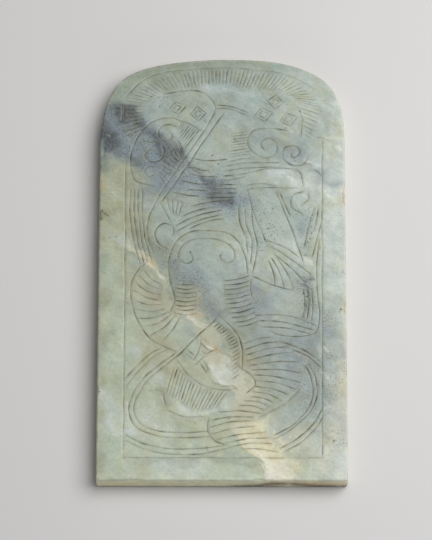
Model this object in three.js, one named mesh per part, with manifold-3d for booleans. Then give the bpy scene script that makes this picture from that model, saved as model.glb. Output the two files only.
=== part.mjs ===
// Incised jade tablet amulet: one flat slab with an arched top and line work cut into its face.
// Millimetres, +Z up. It lies on its back: the face looks up, the arched end is at +Y and the lower
// edge at -Y. The origin is under the middle of the tablet, on the plane that it rests on.

import * as THREE from "three";
import { mergeVertices } from "three/addons/utils/BufferGeometryUtils.js";
import Module from "manifold-3d";

// The slab
const WIDTH = 72;
const HEIGHT = 132;
const THICKNESS = 6;
const CORNER_RADIUS = 0.9;
const FACE_ARRIS = 0.7;
const BACK_ARRIS = 0.4;

// The incised lines
const LINE_WIDTH = 0.5;
const LINE_DEPTH = 0.3;
const LINE_TAPER = 0.9;
const CUTTER_RISE = 0.15;

const LONGEST_TAPER_SHARE = 0.4; // of the straight step that a taper lies in
const SHARPEST_MITRE = 0.5; // cosine at which the width of a bend stops growing

// How finely curves are turned into straight lines
const CURVE_TOLERANCE = 0.22;
const EDGE_TOLERANCE = 0.06;
const STEPS_PER_SPAN = 10;
const SPIRAL_STEP = 10; // degrees
const CORNER_STEP = 30; // degrees

// The worn chips along the edge of the face: place across and up the slab, then half their size
// across, up and down into the stone
const CHIPS = [
  [-36, 27, 0.9, 3, 0.9],
  [-36, 13, 0.8, 2, 0.8],
  [-36, 82, 0.9, 1.3, 1],
  [36, 53, 1.1, 2, 1.3],
  [36, 89, 0.9, 4, 1],
  [-26, 0, 3.4, 0.9, 0.9],
  [11, 0, 2.6, 1, 1],
];

const wasm = await Module();
wasm.setup();

// Every place on the face is given as [across, up]: millimetres from the middle line and from the
// lower edge. The slab is moved down by half its height at the end, so that its origin is central.

// A smooth curve through the given places.
function splineThrough(places) {
  const knots = places.map(([across, up]) => new THREE.Vector3(across, up, 0));
  return new THREE.CatmullRomCurve3(knots, false, "centripetal");
}

// The same curve as many short straight steps.
function smooth(places) {
  const steps = (places.length - 1) * STEPS_PER_SPAN;
  return splineThrough(places).getPoints(steps).map((p) => new THREE.Vector2(p.x, p.y));
}

// Keeps only the points that are needed to stay within the tolerance of the line they describe.
function simplify(points, tolerance) {
  const first = points[0];
  const last = points[points.length - 1];
  const along = last.clone().sub(first);
  const length = Math.max(along.length(), 1e-9);
  let farthest = 0;
  let split = 0;
  for (let i = 1; i < points.length - 1; i++) {
    const away = Math.abs(along.cross(points[i].clone().sub(first))) / length;
    if (away > farthest) {
      farthest = away;
      split = i;
    }
  }
  if (farthest < tolerance) {
    return [first, last];
  }
  const before = simplify(points.slice(0, split + 1), tolerance);
  const after = simplify(points.slice(split), tolerance);
  return before.concat(after.slice(1));
}

// Each line of the design is kept here until all of them are cut at once.
const strokes = [];

// One incised line through the given places.
function curve(places) {
  strokes.push({ points: simplify(smooth(places), CURVE_TOLERANCE), closed: false });
}

// A row of strokes from one rail to another. A bulge bows each stroke to its right.
function hatch(startRail, endRail, count, bulge) {
  const rails = [splineThrough(startRail), splineThrough(endRail)];
  for (let i = 0; i < count; i++) {
    const [start, end] = rails.map((rail) => rail.getPoint(i / (count - 1)));
    const along = end.clone().sub(start).normalize();
    const middle = start.clone().add(end).multiplyScalar(0.5);
    middle.add(new THREE.Vector3(along.y, -along.x, 0).multiplyScalar(bulge));
    curve([start, middle, end].map((p) => [p.x, p.y]));
  }
}

// Lines side by side, each one gap to the left of the line before it.
function strands(places, count, gap) {
  const spine = smooth(places);
  for (let i = 0; i < count; i++) {
    const points = spine.map((point, k) => {
      const ahead = spine[Math.min(k + 1, spine.length - 1)];
      const behind = spine[Math.max(k - 1, 0)];
      const along = ahead.clone().sub(behind).normalize();
      return new THREE.Vector2(-along.y, along.x).multiplyScalar(gap * i).add(point);
    });
    strokes.push({ points: simplify(points, CURVE_TOLERANCE), closed: false });
  }
}

// An eye: one diamond inside another, with its long axis turned by the tilt.
function eye(across, up, halfLong, halfShort, tilt) {
  const centre = new THREE.Vector2(across, up);
  const turn = THREE.MathUtils.degToRad(tilt);
  for (const size of [1, 0.5]) {
    const corners = [[halfLong, 0], [0, halfShort], [-halfLong, 0], [0, -halfShort]];
    const points = corners.map(
      ([x, y]) => new THREE.Vector2(x * size, y * size).rotateAround(new THREE.Vector2(), turn).add(centre),
    );
    strokes.push({ points, closed: true });
  }
}

// A spiral that winds in anticlockwise from its outer radius to its inner one.
function spiral(across, up, outer, inner, startAngle, turn) {
  const points = [];
  const steps = Math.ceil(turn / SPIRAL_STEP);
  for (let i = 0; i <= steps; i++) {
    const angle = THREE.MathUtils.degToRad(startAngle + (turn * i) / steps);
    const radius = THREE.MathUtils.lerp(outer, inner, i / steps);
    points.push(new THREE.Vector2(across + radius * Math.cos(angle), up + radius * Math.sin(angle)));
  }
  strokes.push({ points: simplify(points, CURVE_TOLERANCE), closed: false });
}

// The frame line just inside the edge, arched at the top and square below.
function border() {
  curve([[-28.2, 6.8], [-28.3, 60], [-28.4, 105], [-29.5, 117]]);
  curve([[28.6, 6.8], [28.9, 40], [29.3, 106]]);
  curve([[-28.2, 6.8], [28.6, 6.8]]);
  curve([[-29, 119.5], [-22, 126.1], [-10, 128.7], [3, 129.2], [15, 127.9], [22, 125.8], [27, 122.4]]);
  curve([[28.7, 106.7], [32.5, 105.7]]);
}

// The mane: a band of short strokes that rises over both heads under the arch.
function crest() {
  hatch(
    [
      [-28.5, 107.3], [-28.2, 118.4], [-19.5, 125.6], [-9, 128.2], [0.3, 128.8], [10, 128.2],
      [19.8, 125.8],
    ],
    [
      [-23.7, 109.6], [-22.4, 117.6], [-16.2, 121.9], [-8, 123.3], [0, 124.1], [8, 122.9],
      [16, 122],
    ],
    49, 0,
  );
  hatch(
    [[21.2, 125], [28.8, 116.5], [25.7, 106.6]],
    [[17, 121.8], [22.2, 118.5], [24, 107.9]],
    17, 0,
  );
}

// The head that looks left: nested diamond eyes, brow spiral, nostrils, hatched jaw and the long strap
// that falls from its crown.
function leftHead() {
  curve([
    [-17, 120.8], [-10, 121.9], [-5.2, 120.8], [-2.1, 116.5], [-4.8, 110], [-13, 97],
    [-20, 85], [-22, 77], [-20, 70],
  ]);
  curve([[0.5, 114.7], [-4, 107.9], [-9.5, 98.8], [-14.8, 90.8], [-17.8, 86.2]]);
  curve([[-18.2, 86], [-15.1, 79.7]]);
  curve([
    [-11.8, 111.7], [-15, 113], [-20, 112], [-24.8, 107], [-26.9, 99.5], [-25.6, 93],
    [-20.3, 91.1],
  ]);
  curve([[-1.9, 117.2], [3, 116.6], [7.1, 115.1]]);
  curve([[-1.9, 116.1], [2, 116], [6.8, 114.1]]);
  eye(-13.4, 116.2, 2.6, 2, 14);
  eye(-7.2, 114.4, 2.25, 2.4, 6);
  spiral(-16.2, 107.6, 3.6, 0.9, 36, 378);
  curve([[-24.5, 106.3], [-22, 105.3], [-18.3, 105.8]]);
  curve([
    [-19.3, 101.8], [-21.2, 102.8], [-22.8, 101.2], [-21.2, 99], [-18.2, 99.6], [-17.1, 102.8],
    [-17.9, 104.5],
  ]);
  curve([[-19.9, 97], [-21.6, 97.4], [-22.9, 96], [-21.5, 94.1], [-19.9, 95]]);
  hatch([[-11.9, 111.5], [-6.9, 109.1]], [[-13.2, 109.4], [-11, 103.5]], 8, 0);
  curve([[-11.5, 111.9], [-9.5, 111], [-6.5, 108.9]]);
  hatch(
    [[-18.6, 94.6], [-18, 98.8], [-14.6, 104], [-13, 106]],
    [[-17, 92], [-13.2, 98.6], [-11.3, 102]],
    12, 0,
  );
  hatch([[-16.2, 87.3], [-11.6, 86.2]], [[-15.1, 82.3], [-12.8, 81.8]], 4, 0);
  curve([[-14.4, 75.5], [-14.2, 77.8], [-17, 79.2], [-19.6, 76.5], [-18.5, 73], [-16, 71.2]]);
}

// Four strands that hang from the left head along the frame.
function leftStraps() {
  strands([[-26.9, 90], [-26.9, 82], [-25.9, 74], [-23.9, 66.3]], 4, 1.15);
  curve([[-23.9, 65.5], [-22.5, 66.5], [-21.8, 67.8]]);
}

// Short lines across the neck and chest between the two heads.
function chest() {
  curve([[-8, 99.8], [-4.8, 99.2], [1.4, 99.7]]);
  curve([[-9.5, 97], [-8, 97], [-6.6, 96.3], [-4.2, 96.2]]);
  curve([[-9.2, 95], [-7, 94.4], [-2.4, 94.2]]);
  curve([[-12.3, 93], [-8, 91.9], [-4.2, 91.7]]);
  curve([[-10.1, 90.1], [-4.4, 89.7]]);
  curve([[-14.4, 89.1], [-11, 88.3], [-7.2, 88]]);
  hatch([[-4.5, 87.6], [-1, 91.6]], [[3.5, 87.6], [4.2, 91.6]], 4, 0);
  curve([[-8.7, 84.9], [-4, 86.1], [2.2, 86.6]]);
  curve([[-12, 81.4], [-9, 82.8], [-2.5, 84.7]]);
  curve([[-13.3, 78.7], [-8.5, 81.4], [-0.3, 83.6]]);
  curve([[-13.4, 76.7], [-8, 79.8], [0, 82.2]]);
  curve([[-9.2, 77.8], [-4.5, 79.9], [0.3, 80.8]]);
}

// The round-topped shape in the middle, with a curl turned in at each side.
function mask() {
  curve([
    [5.5, 72.7], [2, 76], [-3, 77.1], [-9, 76.6], [-13.3, 73.7], [-15.6, 67], [-14.9, 60.5],
    [-13.7, 55], [-15.2, 51.6],
  ]);
  curve([
    [-9.4, 70.2], [-8.5, 68], [-10, 66.7], [-12.8, 68.3], [-12.2, 71.5], [-9, 74], [-4, 74.6],
    [0.5, 73.5], [3.3, 71], [3.4, 68], [1.2, 66.9], [-0.7, 68.9], [0, 70.2],
  ]);
}

// Strands that fall from the throat of the right head.
function middleStraps() {
  curve([[4.9, 84.9], [5, 80], [6.8, 74.5], [7.4, 70]]);
  curve([[6.6, 84], [7, 79], [8.6, 74], [8.3, 66.8]]);
  curve([[8.5, 84], [9, 78], [10.2, 72.5], [8.8, 63.9]]);
  curve([[7.4, 90], [8.2, 86], [9.8, 81], [12.7, 73.4]]);
  curve([[5.4, 72.5], [6.9, 68], [7.4, 63.5]]);
}

// Bands that join the neck to the right head, and the rungs behind them.
function neck() {
  curve([[1.9, 98.9], [5, 99.8], [8.5, 100.3]]);
  curve([[0.8, 97.4], [5.5, 98.5], [16.9, 98.7]]);
  curve([[1.2, 96.1], [6, 96.8], [16.9, 97.4]]);
  curve([[0.5, 94.4], [5.5, 95], [14, 96.8], [22.3, 96], [23.8, 91.3]]);
  curve([[0.8, 92.9], [3, 93.4], [6.8, 94.3]]);
  hatch([[2.7, 108], [2.5, 100.5]], [[7.2, 108.6], [7.8, 101.5]], 9, 0);
  curve([[7.3, 91.4], [11.5, 92], [16.2, 91.1]]);
  curve([[7.5, 90.3], [12, 90.7], [21.5, 90.6]]);
}

// The head that looks right: a large brow spiral, two small spirals and three nested diamond eyes.
function rightHead() {
  curve([
    [19.5, 108.9], [13, 109.7], [9, 108.8], [7.4, 106], [8.3, 102.7], [12.8, 100.2],
    [15.7, 101.8], [15.9, 105], [13.5, 106.6], [11.3, 104.9], [12.4, 102.7],
  ]);
  curve([
    [20.3, 102], [20.6, 100.3], [22.8, 102], [21.5, 104], [18.4, 103.5], [17.7, 100.5],
    [20.2, 98], [23.8, 98.2], [25.3, 101],
  ]);
  curve([[24, 98.3], [25.2, 98.4], [26.7, 97.5]]);
  curve([[23.7, 89.4], [20.6, 88.2], [20.3, 84.6], [23.7, 82.3]]);
  curve([[25, 89], [25.3, 87.2], [23.5, 85.4]]);
  curve([[27, 96.4], [28.5, 95.3], [29, 94.5]]);
  eye(12, 114.2, 2.8, 2.4, 12);
  eye(15.6, 118.2, 2.3, 2.3, -5);
  eye(19.4, 112.6, 2.7, 2.1, 16);
  curve([[22.3, 116.2], [23.4, 113], [23.3, 107.5]]);
}

// Long lines that fall from the right head along the frame.
function rightStraps() {
  curve([[15.6, 89.4], [19, 80.8], [22.3, 71.5], [23.6, 67]]);
  curve([[16.8, 89], [18.2, 85.5], [20, 81.5]]);
  curve([[27, 84.4], [25.3, 79], [23.9, 72]]);
  curve([[28.2, 84], [27.4, 80], [26.7, 77]]);
  curve([[29.2, 80.5], [28, 76], [26.3, 69]]);
}

// A spray of strokes below the right straps.
function rightFan() {
  curve([[13, 74], [18, 71.9], [22.3, 68.8]]);
  curve([[13.2, 72.1], [16.3, 70.7], [21, 67.3], [25.7, 63.3]]);
  curve([[14.9, 69.7], [19, 66.3], [24, 60.8]]);
  curve([[15.7, 68.7], [18.6, 64.2], [20.5, 59.3]]);
  curve([[14.4, 68.5], [16.6, 64], [18, 59.2]]);
  curve([[13.6, 67.5], [14.9, 63.5], [15.2, 60]]);
  curve([[8.8, 62.7], [13, 60.7], [18, 58.9], [20.5, 58.4]]);
}

// The bands and the rounded end at the right of the belly.
function belt() {
  curve([[9.8, 50.7], [17.5, 50.6], [23, 49.3], [26.8, 47.5]]);
  curve([[11, 48.8], [17, 48.6], [26.5, 46]]);
  curve([[11.5, 47], [17, 46.8], [25.7, 44.8]]);
  curve([
    [13.5, 45.8], [17, 44.4], [23, 44], [27, 45.5], [28.2, 50], [27.6, 58], [27.5, 66],
    [28.3, 74],
  ]);
  hatch([[23.6, 58.5], [26, 58.8]], [[23.4, 50], [25.8, 49]], 3, -0.4);
}

// Two stacks of ribs, left and right of the belly.
function ribs() {
  hatch([[0.7, 61.3], [1.1, 54.1], [4.5, 47]], [[7.9, 62.9], [8.2, 55.6], [10.2, 48.6]], 11, 0.4);
  hatch([[-13.5, 60.3], [-13.5, 51.1]], [[-7.8, 60.3], [-7.8, 51.1]], 8, 0.4);
  curve([[8.5, 62], [8.2, 59], [8.6, 56]]);
}

// The wing at the left, a fan of strokes inside one round outline.
function wing() {
  curve([[-23.9, 65.5], [-26, 61.5], [-26.5, 56], [-25, 50], [-20.5, 42.8], [-13.5, 39.4]]);
  hatch(
    [[-23, 65], [-25.8, 58.2], [-24.6, 49.5], [-18, 42]],
    [[-17.8, 60.2], [-18, 55.2], [-15.9, 51.3], [-12.2, 50.4]],
    10, 0.7,
  );
}

// The slanted line and the curved column of rungs below the belly.
function column() {
  curve([[-13.1, 37.6], [-9, 42], [-4.5, 46.7], [-1.7, 49.6]]);
  hatch([[-2.4, 46.8], [2.4, 41.2], [3.1, 31]], [[-1, 48], [4.2, 42.3], [4.6, 32.2]], 17, 0);
  curve([[-0.6, 50], [3, 46.5], [5.5, 42], [5.8, 34]]);
}

// The small claw in the middle of the lower field.
function claw() {
  curve([[-6.1, 43.8], [-6.3, 41], [-7.9, 37.2], [-8.5, 36.8]]);
  curve([[-10.5, 38.7], [-8.4, 36.9]]);
  curve([[-10.2, 39.8], [-8, 38]]);
  curve([[-7.6, 35.3], [-3.5, 39.2], [-1.8, 40]]);
  curve([[-6.3, 42], [-3.8, 39.6], [-2.7, 39.4]]);
  curve([[-5.8, 43.2], [-4, 42]]);
  curve([[-6, 39.6], [-5, 38.6], [-4, 38.9]]);
  curve([[-6.2, 35.5], [-4.6, 32.8]]);
  curve([[-5.7, 36.8], [-4.2, 34.3], [-4.3, 33]]);
}

// Paired lines that loop round the lower left.
function loops() {
  curve([[-28.2, 30.3], [-24.5, 34.9], [-20.2, 38.9], [-17.8, 40.2]]);
  curve([[-28, 28], [-24, 33.4], [-19.5, 37.9], [-15.8, 40]]);
  curve([
    [-13.5, 38.7], [-18, 35.3], [-24.3, 29], [-26.7, 21.5], [-25, 16.6], [-19.8, 13.7],
    [-11, 12.8], [-3.7, 13.3],
  ]);
  curve([
    [-11.3, 39.2], [-15.6, 35.6], [-22.3, 29.3], [-25.2, 22], [-23.3, 17], [-17, 14.7],
    [-8, 14.5], [-4, 14.9],
  ]);
  curve([[-27.8, 13.8], [-22.5, 11], [-15, 9.5], [-7, 9.6], [1, 10.6]]);
  curve([[-28, 12], [-22.5, 9.6], [-15.5, 8], [-7, 7.9], [3, 10]]);
}

// The fan of fine strokes inside the loop.
function lowerFan() {
  curve([[-13.2, 36.8], [-9, 31.3], [-4.7, 28.4], [1, 27.5], [4.2, 27.9]]);
  curve([[-0.5, 28.4], [3.5, 28.6], [4.3, 27.7]]);
  hatch(
    [[-13.6, 35], [-9.4, 30.8], [-4.5, 27.6], [1.3, 26.9]],
    [[-16.1, 26.4], [-11.6, 23.8], [-7.4, 21.2], [-1.9, 22]],
    17, 0,
  );
  curve([[-15.5, 21.2], [-11, 19.4], [-5, 19.3]]);
}

// The spread of long strokes at the lower right, and the knot that it springs from.
function feathers() {
  hatch(
    [[6.1, 41.6], [7.4, 36.5], [9.3, 32.1], [8.8, 27], [5.1, 22.8]],
    [[14.2, 43.7], [20.4, 39], [22.5, 29.8], [16.7, 24.5], [11.8, 21.4]],
    13, -0.6,
  );
  hatch(
    [[-0.9, 20.7], [-3.7, 15.9], [-1.3, 12.4], [3.3, 10.4]],
    [[11.1, 20.3], [7.5, 18.1], [12.1, 14.5], [14.2, 11.1]],
    7, -0.5,
  );
  curve([[5.8, 9.6], [10, 9.6], [16, 8.5]]);
  curve([[-3.8, 18.7], [-4.1, 15], [-2, 11.9], [1.2, 10.7]]);
  curve([[10, 18.8], [14.5, 21.1], [20, 25], [22.5, 27.8]]);
  curve([[5.3, 34.2], [8.2, 32.1], [9.6, 29.2], [7, 26.4]]);
  curve([[5.3, 24.6], [4.2, 23.1], [2.8, 24.5]]);
}

// Paired bands that sweep round the lower right.
function sideBands() {
  curve([[14.9, 13.6], [20.9, 17.3], [24.8, 22.2], [26.2, 27], [25.6, 31.4], [24.1, 34.8]]);
  curve([[15.1, 12.4], [18.8, 14.8], [25.5, 21.2], [27.4, 27], [26.7, 32], [24.8, 35.4]]);
  curve([[16.8, 9.8], [21.5, 12.7], [26, 17], [29.1, 22.5]]);
  curve([[17.3, 8.4], [22, 11.2], [26.5, 15.5], [29.2, 19.6]]);
  curve([[17, 42.4], [22, 40.6], [25.5, 38.5], [28.4, 36.2]]);
  curve([[20.5, 39.8], [24.5, 38], [28.3, 34.5]]);
}
const MOTIFS = [
  border, crest, leftHead, leftStraps, chest, mask, middleStraps, neck, rightHead, rightStraps,
  rightFan, belt, ribs, wing, column, claw, loops, lowerFan, feathers, sideBands,
];

// A closed geometry from its corners and the triangles between them.
function makeGeometry(corners, triangles) {
  const geometry = new THREE.BufferGeometry();
  geometry.setAttribute("position", new THREE.Float32BufferAttribute(corners.flat(), 3));
  geometry.setIndex(triangles.flat());
  return geometry;
}

// The solid inside a closed geometry.
function toSolid(geometry) {
  const vertProperties = new Float32Array(geometry.attributes.position.array);
  const triVerts = new Uint32Array(geometry.index.array);
  return new wasm.Manifold(new wasm.Mesh({ numProp: 3, vertProperties, triVerts }));
}

// An open line gets a point a short way in from each end, where its cut reaches full depth.
function withTapers(points) {
  const inset = (from, to) => {
    const share = Math.min(LINE_TAPER / from.distanceTo(to), LONGEST_TAPER_SHARE);
    return from.clone().lerp(to, share);
  };
  const last = points.length - 1;
  return [
    points[0],
    inset(points[0], points[1]),
    ...points.slice(1, last),
    inset(points[last], points[last - 1]),
    points[last],
  ];
}

// The V-shaped cutter of one line. It stands a little above the face and runs out to a point at
// both ends, unless it closes on itself.
function lineCutter({ points, closed }) {
  const path = closed ? points : withTapers(points);
  const count = path.length;
  const rise = THICKNESS + CUTTER_RISE;
  const floor = THICKNESS - LINE_DEPTH;
  const halfWidth = ((LINE_WIDTH / 2) * (LINE_DEPTH + CUTTER_RISE)) / LINE_DEPTH;
  const corners = [];
  const sections = path.map((point, i) => {
    if (!closed && (i === 0 || i === count - 1)) {
      corners.push([point.x, point.y, rise]);
      return Array(3).fill(corners.length - 1);
    }
    const into = point.clone().sub(path[(i + count - 1) % count]).normalize();
    const out = path[(i + 1) % count].clone().sub(point).normalize();
    const along = into.clone().add(out).normalize();
    const reach = halfWidth / Math.max(along.dot(into), SHARPEST_MITRE);
    const side = new THREE.Vector2(-along.y, along.x).multiplyScalar(reach);
    corners.push([point.x + side.x, point.y + side.y, rise]);
    corners.push([point.x - side.x, point.y - side.y, rise]);
    corners.push([point.x, point.y, floor]);
    return [corners.length - 3, corners.length - 2, corners.length - 1];
  });
  const triangles = [];
  for (let i = 0; i < (closed ? count : count - 1); i++) {
    const [left, right, bottom] = sections[i];
    const [nextLeft, nextRight, nextBottom] = sections[(i + 1) % count];
    triangles.push([left, right, nextRight], [left, nextRight, nextLeft]);
    triangles.push([left, nextLeft, nextBottom], [left, nextBottom, bottom]);
    triangles.push([right, bottom, nextBottom], [right, nextBottom, nextRight]);
  }
  const whole = triangles.filter(([a, b, c]) => a !== b && b !== c && c !== a);
  return toSolid(makeGeometry(corners, whole));
}

// The outline, anticlockwise from the lower right corner. The left shoulder is a little lower than
// the right one.
function outline() {
  const half = WIDTH / 2;
  const arch = smooth([
    [half, 104], [35.5, 111], [33.7, 118.2], [30.4, 123.9], [24.5, 127.9], [15, 130.8], [3, HEIGHT],
    [-9, 131.1], [-20, 129.2], [-26.8, 126.9], [-31.3, 123.2], [-34.2, 117], [-35.5, 110.5], [-half, 104],
  ]);
  const corner = (centreX, startAngle) => {
    const centre = new THREE.Vector2(centreX, CORNER_RADIUS);
    const points = [];
    for (let degrees = startAngle; degrees <= startAngle + 90; degrees += CORNER_STEP) {
      const arm = new THREE.Vector2(CORNER_RADIUS, 0);
      points.push(arm.rotateAround(new THREE.Vector2(), THREE.MathUtils.degToRad(degrees)).add(centre));
    }
    return points;
  };
  return [
    ...corner(half - CORNER_RADIUS, 270),
    ...simplify(arch, EDGE_TOLERANCE),
    ...corner(CORNER_RADIUS - half, 180),
  ];
}

// The plain slab: the outline at several heights, drawn in at the face and the back by the
// rounding of the edge.
function slab() {
  const ring = outline();
  const count = ring.length;
  const roundPoint = FACE_ARRIS * (1 - Math.SQRT1_2);
  const levels = [
    [0, BACK_ARRIS],
    [BACK_ARRIS, 0],
    [THICKNESS - FACE_ARRIS, 0],
    [THICKNESS - roundPoint, roundPoint],
    [THICKNESS, FACE_ARRIS],
  ];
  const corners = [];
  for (const [level, inset] of levels) {
    ring.forEach((point, i) => {
      const along = ring[(i + 1) % count].clone().sub(ring[(i + count - 1) % count]).normalize();
      corners.push([point.x - along.y * inset, point.y + along.x * inset, level]);
    });
  }
  const triangles = [];
  for (let k = 0; k < levels.length - 1; k++) {
    for (let i = 0; i < count; i++) {
      const a = k * count + i;
      const b = k * count + ((i + 1) % count);
      triangles.push([a, b, b + count], [a, b + count, a + count]);
    }
  }
  const top = (levels.length - 1) * count;
  for (const [a, b, c] of THREE.ShapeUtils.triangulateShape(ring, [])) {
    triangles.push([c, b, a], [a + top, b + top, c + top]);
  }
  return toSolid(makeGeometry(corners, triangles));
}

// A shallow faceted scoop, taken out of the edge around the face.
function chipCutter([across, up, halfAcross, halfUp, halfDeep]) {
  const scoop = new THREE.IcosahedronGeometry(1, 1);
  scoop.deleteAttribute("normal");
  scoop.deleteAttribute("uv");
  scoop.scale(halfAcross, halfUp, halfDeep);
  scoop.translate(across, up, THICKNESS);
  return toSolid(mergeVertices(scoop));
}

MOTIFS.forEach((motif) => motif());
const cutters = strokes.map(lineCutter).concat(CHIPS.map(chipCutter));
const carved = slab().subtract(cutters.reduce((all, cutter) => all.add(cutter))).getMesh();

const geometry = new THREE.BufferGeometry();
geometry.setAttribute("position", new THREE.Float32BufferAttribute(carved.vertProperties, 3));
geometry.setIndex([...carved.triVerts]);
geometry.computeVertexNormals();

const nephrite = new THREE.MeshStandardMaterial({ color: 0xa9b5a9, roughness: 0.42, metalness: 0 });
const tablet = new THREE.Mesh(geometry, nephrite);
tablet.name = "tablet";
tablet.position.y = -HEIGHT / 2;

const amulet = new THREE.Group();
amulet.add(tablet);

export default amulet;
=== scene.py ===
import math

import bpy
import numpy as np
from mathutils import Matrix, Vector
from mathutils.geometry import delaunay_2d_cdt


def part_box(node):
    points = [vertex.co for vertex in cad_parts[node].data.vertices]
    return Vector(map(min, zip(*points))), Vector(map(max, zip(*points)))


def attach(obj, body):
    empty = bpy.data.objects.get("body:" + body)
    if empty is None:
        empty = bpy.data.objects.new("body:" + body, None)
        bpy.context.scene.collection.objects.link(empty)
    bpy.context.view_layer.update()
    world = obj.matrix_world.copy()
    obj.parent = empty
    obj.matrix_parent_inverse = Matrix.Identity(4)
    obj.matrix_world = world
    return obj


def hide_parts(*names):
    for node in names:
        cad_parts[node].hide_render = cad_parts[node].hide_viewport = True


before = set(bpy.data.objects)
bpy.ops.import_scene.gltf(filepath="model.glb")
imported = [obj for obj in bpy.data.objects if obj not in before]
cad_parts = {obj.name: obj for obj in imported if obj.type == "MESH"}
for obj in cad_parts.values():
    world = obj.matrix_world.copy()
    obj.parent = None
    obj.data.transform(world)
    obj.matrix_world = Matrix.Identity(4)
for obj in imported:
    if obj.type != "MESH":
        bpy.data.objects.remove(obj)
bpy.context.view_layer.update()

# An incised jade tablet amulet that lies on its back on a pale table.
# Work is in millimetres and is turned into metres at the end. Every place on the face is given as
# [across, up]: from the middle line and from the lower edge, with the face looking up at the viewer.
MM = 0.001

# The slab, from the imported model
LOW, HIGH = (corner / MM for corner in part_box("tablet"))
WIDTH = HIGH.x - LOW.x
HEIGHT = HIGH.y - LOW.y
THICKNESS = HIGH.z
FOOT = LOW.y  # the lower edge in the frame
CORNER_RADIUS = 0.9
FACE_ARRIS = 0.5
BACK_ARRIS = 0.4

# The incised lines. Single curves are cut a little wider and deeper than the rows of short strokes.
CURVE_WIDTH = 0.5
CURVE_DEPTH = 0.07
HATCH_WIDTH = 0.46
HATCH_DEPTH = 0.065
CRACK_WIDTH = 0.26
CRACK_DEPTH = 0.08
TAPER = 0.6  # how far from its end a line starts to thin out
TIP_SHARE = 0.4  # of the width and depth that is left at the very end
EYE_SIZES = (1, 0.5)  # of the diamonds in an eye
SPIRAL_POINTS = 60
PRESSURE = (0.86, 1.1)  # the least and the most that the hand presses on one whole line

# How a line wavers along its way: how much, over what length, and the seed of the first line. The
# depth follows the width. The width and the dirt stay within a range.
HAND_WIDTH, WIDTH_WAVE, WIDTH_SEED = 0.16, 2.2, 100
HAND_DRIFT, DRIFT_WAVE, DRIFT_SEED = 0.05, 5, 700
HAND_DIRT, DIRT_WAVE, DIRT_SEED = 0.22, 3.5, 1300
WIDTH_RANGE = (0.6, 1.4)
DIRT_RANGE = (0.3, 1.6)
DIRT_SHAPE = 0.6  # under 1, the dirt fills a line more evenly than its depth would have it
STAIN_REACH = 0.45  # how far the tint beside a line spreads

# The hand-ground face rolls a little up and down, in long and short waves, and is level at its rim.
ROLL, ROLL_WAVE = 0.035, 9
RIPPLE, RIPPLE_WAVE = 0.012, 2.5
LEVEL_RIM = 4
TOP_GAP = 0.01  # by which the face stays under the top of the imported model

# How finely the mesh follows the design
SECTION = 0.5  # along a line
STEPS_PER_SPAN = 10
GRID = 0.56
GRID_JITTER = 0.13
ROW_SHARE = 0.866  # the distance between the rows of a grid, as a share of its step
RIM_SHARE = 0.6  # how far a grid stays from the outline, as a share of its step
CLEAR_OF_LINES = 0.2
EDGE_STEP = 0.5
BACK_GRID = 1.4
BACK_JITTER = 0.3
SAME_PLACE = 0.01  # closer than this, two corners become one
ARRIS_STEPS = 5
WALL_STEPS = 7

# How much the outline is worn back, over what length, and how fast that changes with height
EDGE_WEAR, EDGE_WAVE, EDGE_SHIFT = 0.03, 2.2, 3

# Worn chips along the edge of the face: place across and up, then half their size across, up and
# down into the stone
CHIPS = [
    [-WIDTH / 2, 27, 0.5, 2.2, 0.5],
    [-WIDTH / 2, 13, 0.4, 1.4, 0.4],
    [-WIDTH / 2, 82, 0.9, 1.3, 1],
    [WIDTH / 2, 53, 0.8, 1.8, 0.9],
    [WIDTH / 2, 89, 0.7, 3.4, 0.8],
    [-26, 0, 3.4, 0.45, 0.5],
    [11, 0, 2.6, 0.5, 0.5],
]
CHIP_ROUGHNESS, CHIP_WAVE, CHIP_SHIFT = 0.12, 0.9, 1.7  # as for the outline's wear
AT_EDGE = 1  # a chip whose middle is closer than this to an edge has come off there

# The stone's own streaks: their direction in degrees, and how much longer than wide they are
STREAK_ANGLE = -36
STREAK_LENGTH = 2

# How the clouds, the vein and the threads are shifted to and fro, so that none has an even edge: over
# what length, with what seed, and how far
CLOUD_SWAY = [[6, 41, 0.9], [1.9, 43, 0.3]]
VEIN_SWAY = [2.4, 51, 0.4]
THREAD_SWAY = [2.4, 71, 0.2]

CLOUD_END = 2.6  # where a cloud has faded away, in reaches from its middle
VEIN_END = 1.25  # where the vein has faded away, in widths from its edge
THREAD_END = 1.5  # below the face, where the threads end
LEAST_PEPPER = 0.2  # of the dark grains that lie everywhere

# The walls: over what height their colours come in, how strong they are, what counts as the lower
# wall, and the brown line at its foot, which is painted shade where the wall meets the table
WALL_BLEND = 0.8
WALL_STRENGTH = 0.85
LOWER_WALL = 1.5
FOOT_SHADE_STRENGTH = 0.9
FOOT_SHADE_TOP = 1.2

# Worn places: width and height of the pale rim, which is partly wear and partly painted highlight
# along the arris, its patches, and the strength of rubbed places
RIM_WEAR_AND_HIGHLIGHT = 0.8
RIM_DROP = 1.2
PATCH_WAVE = 3
PATCH_MEAN, PATCH_SPREAD = 0.5, 0.3
PATCH_RANGE = (0.1, 0.9)
RUBBED = 0.85

RANDOM = np.random.default_rng(7)  # for the pressure on each line, then for the two grids
WAVES = 24  # that are added up to soft hills
CHUNK = 4000  # points that are measured at once
FAR = 1.5  # beyond this a line has no effect

# The camera, as in the photograph, which is 432 x 540 pixels. Lengths are in millimetres.
PICTURE_HEIGHT = 540
SENSOR = 36
FOCAL_PIXELS = 4241.6
CAMERA_TILT = 22  # degrees from straight above
CAMERA_ROLL = 0.1225
CAMERA_DISTANCE = 1232.7
AIM = [-1.8, 64.6]

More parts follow.
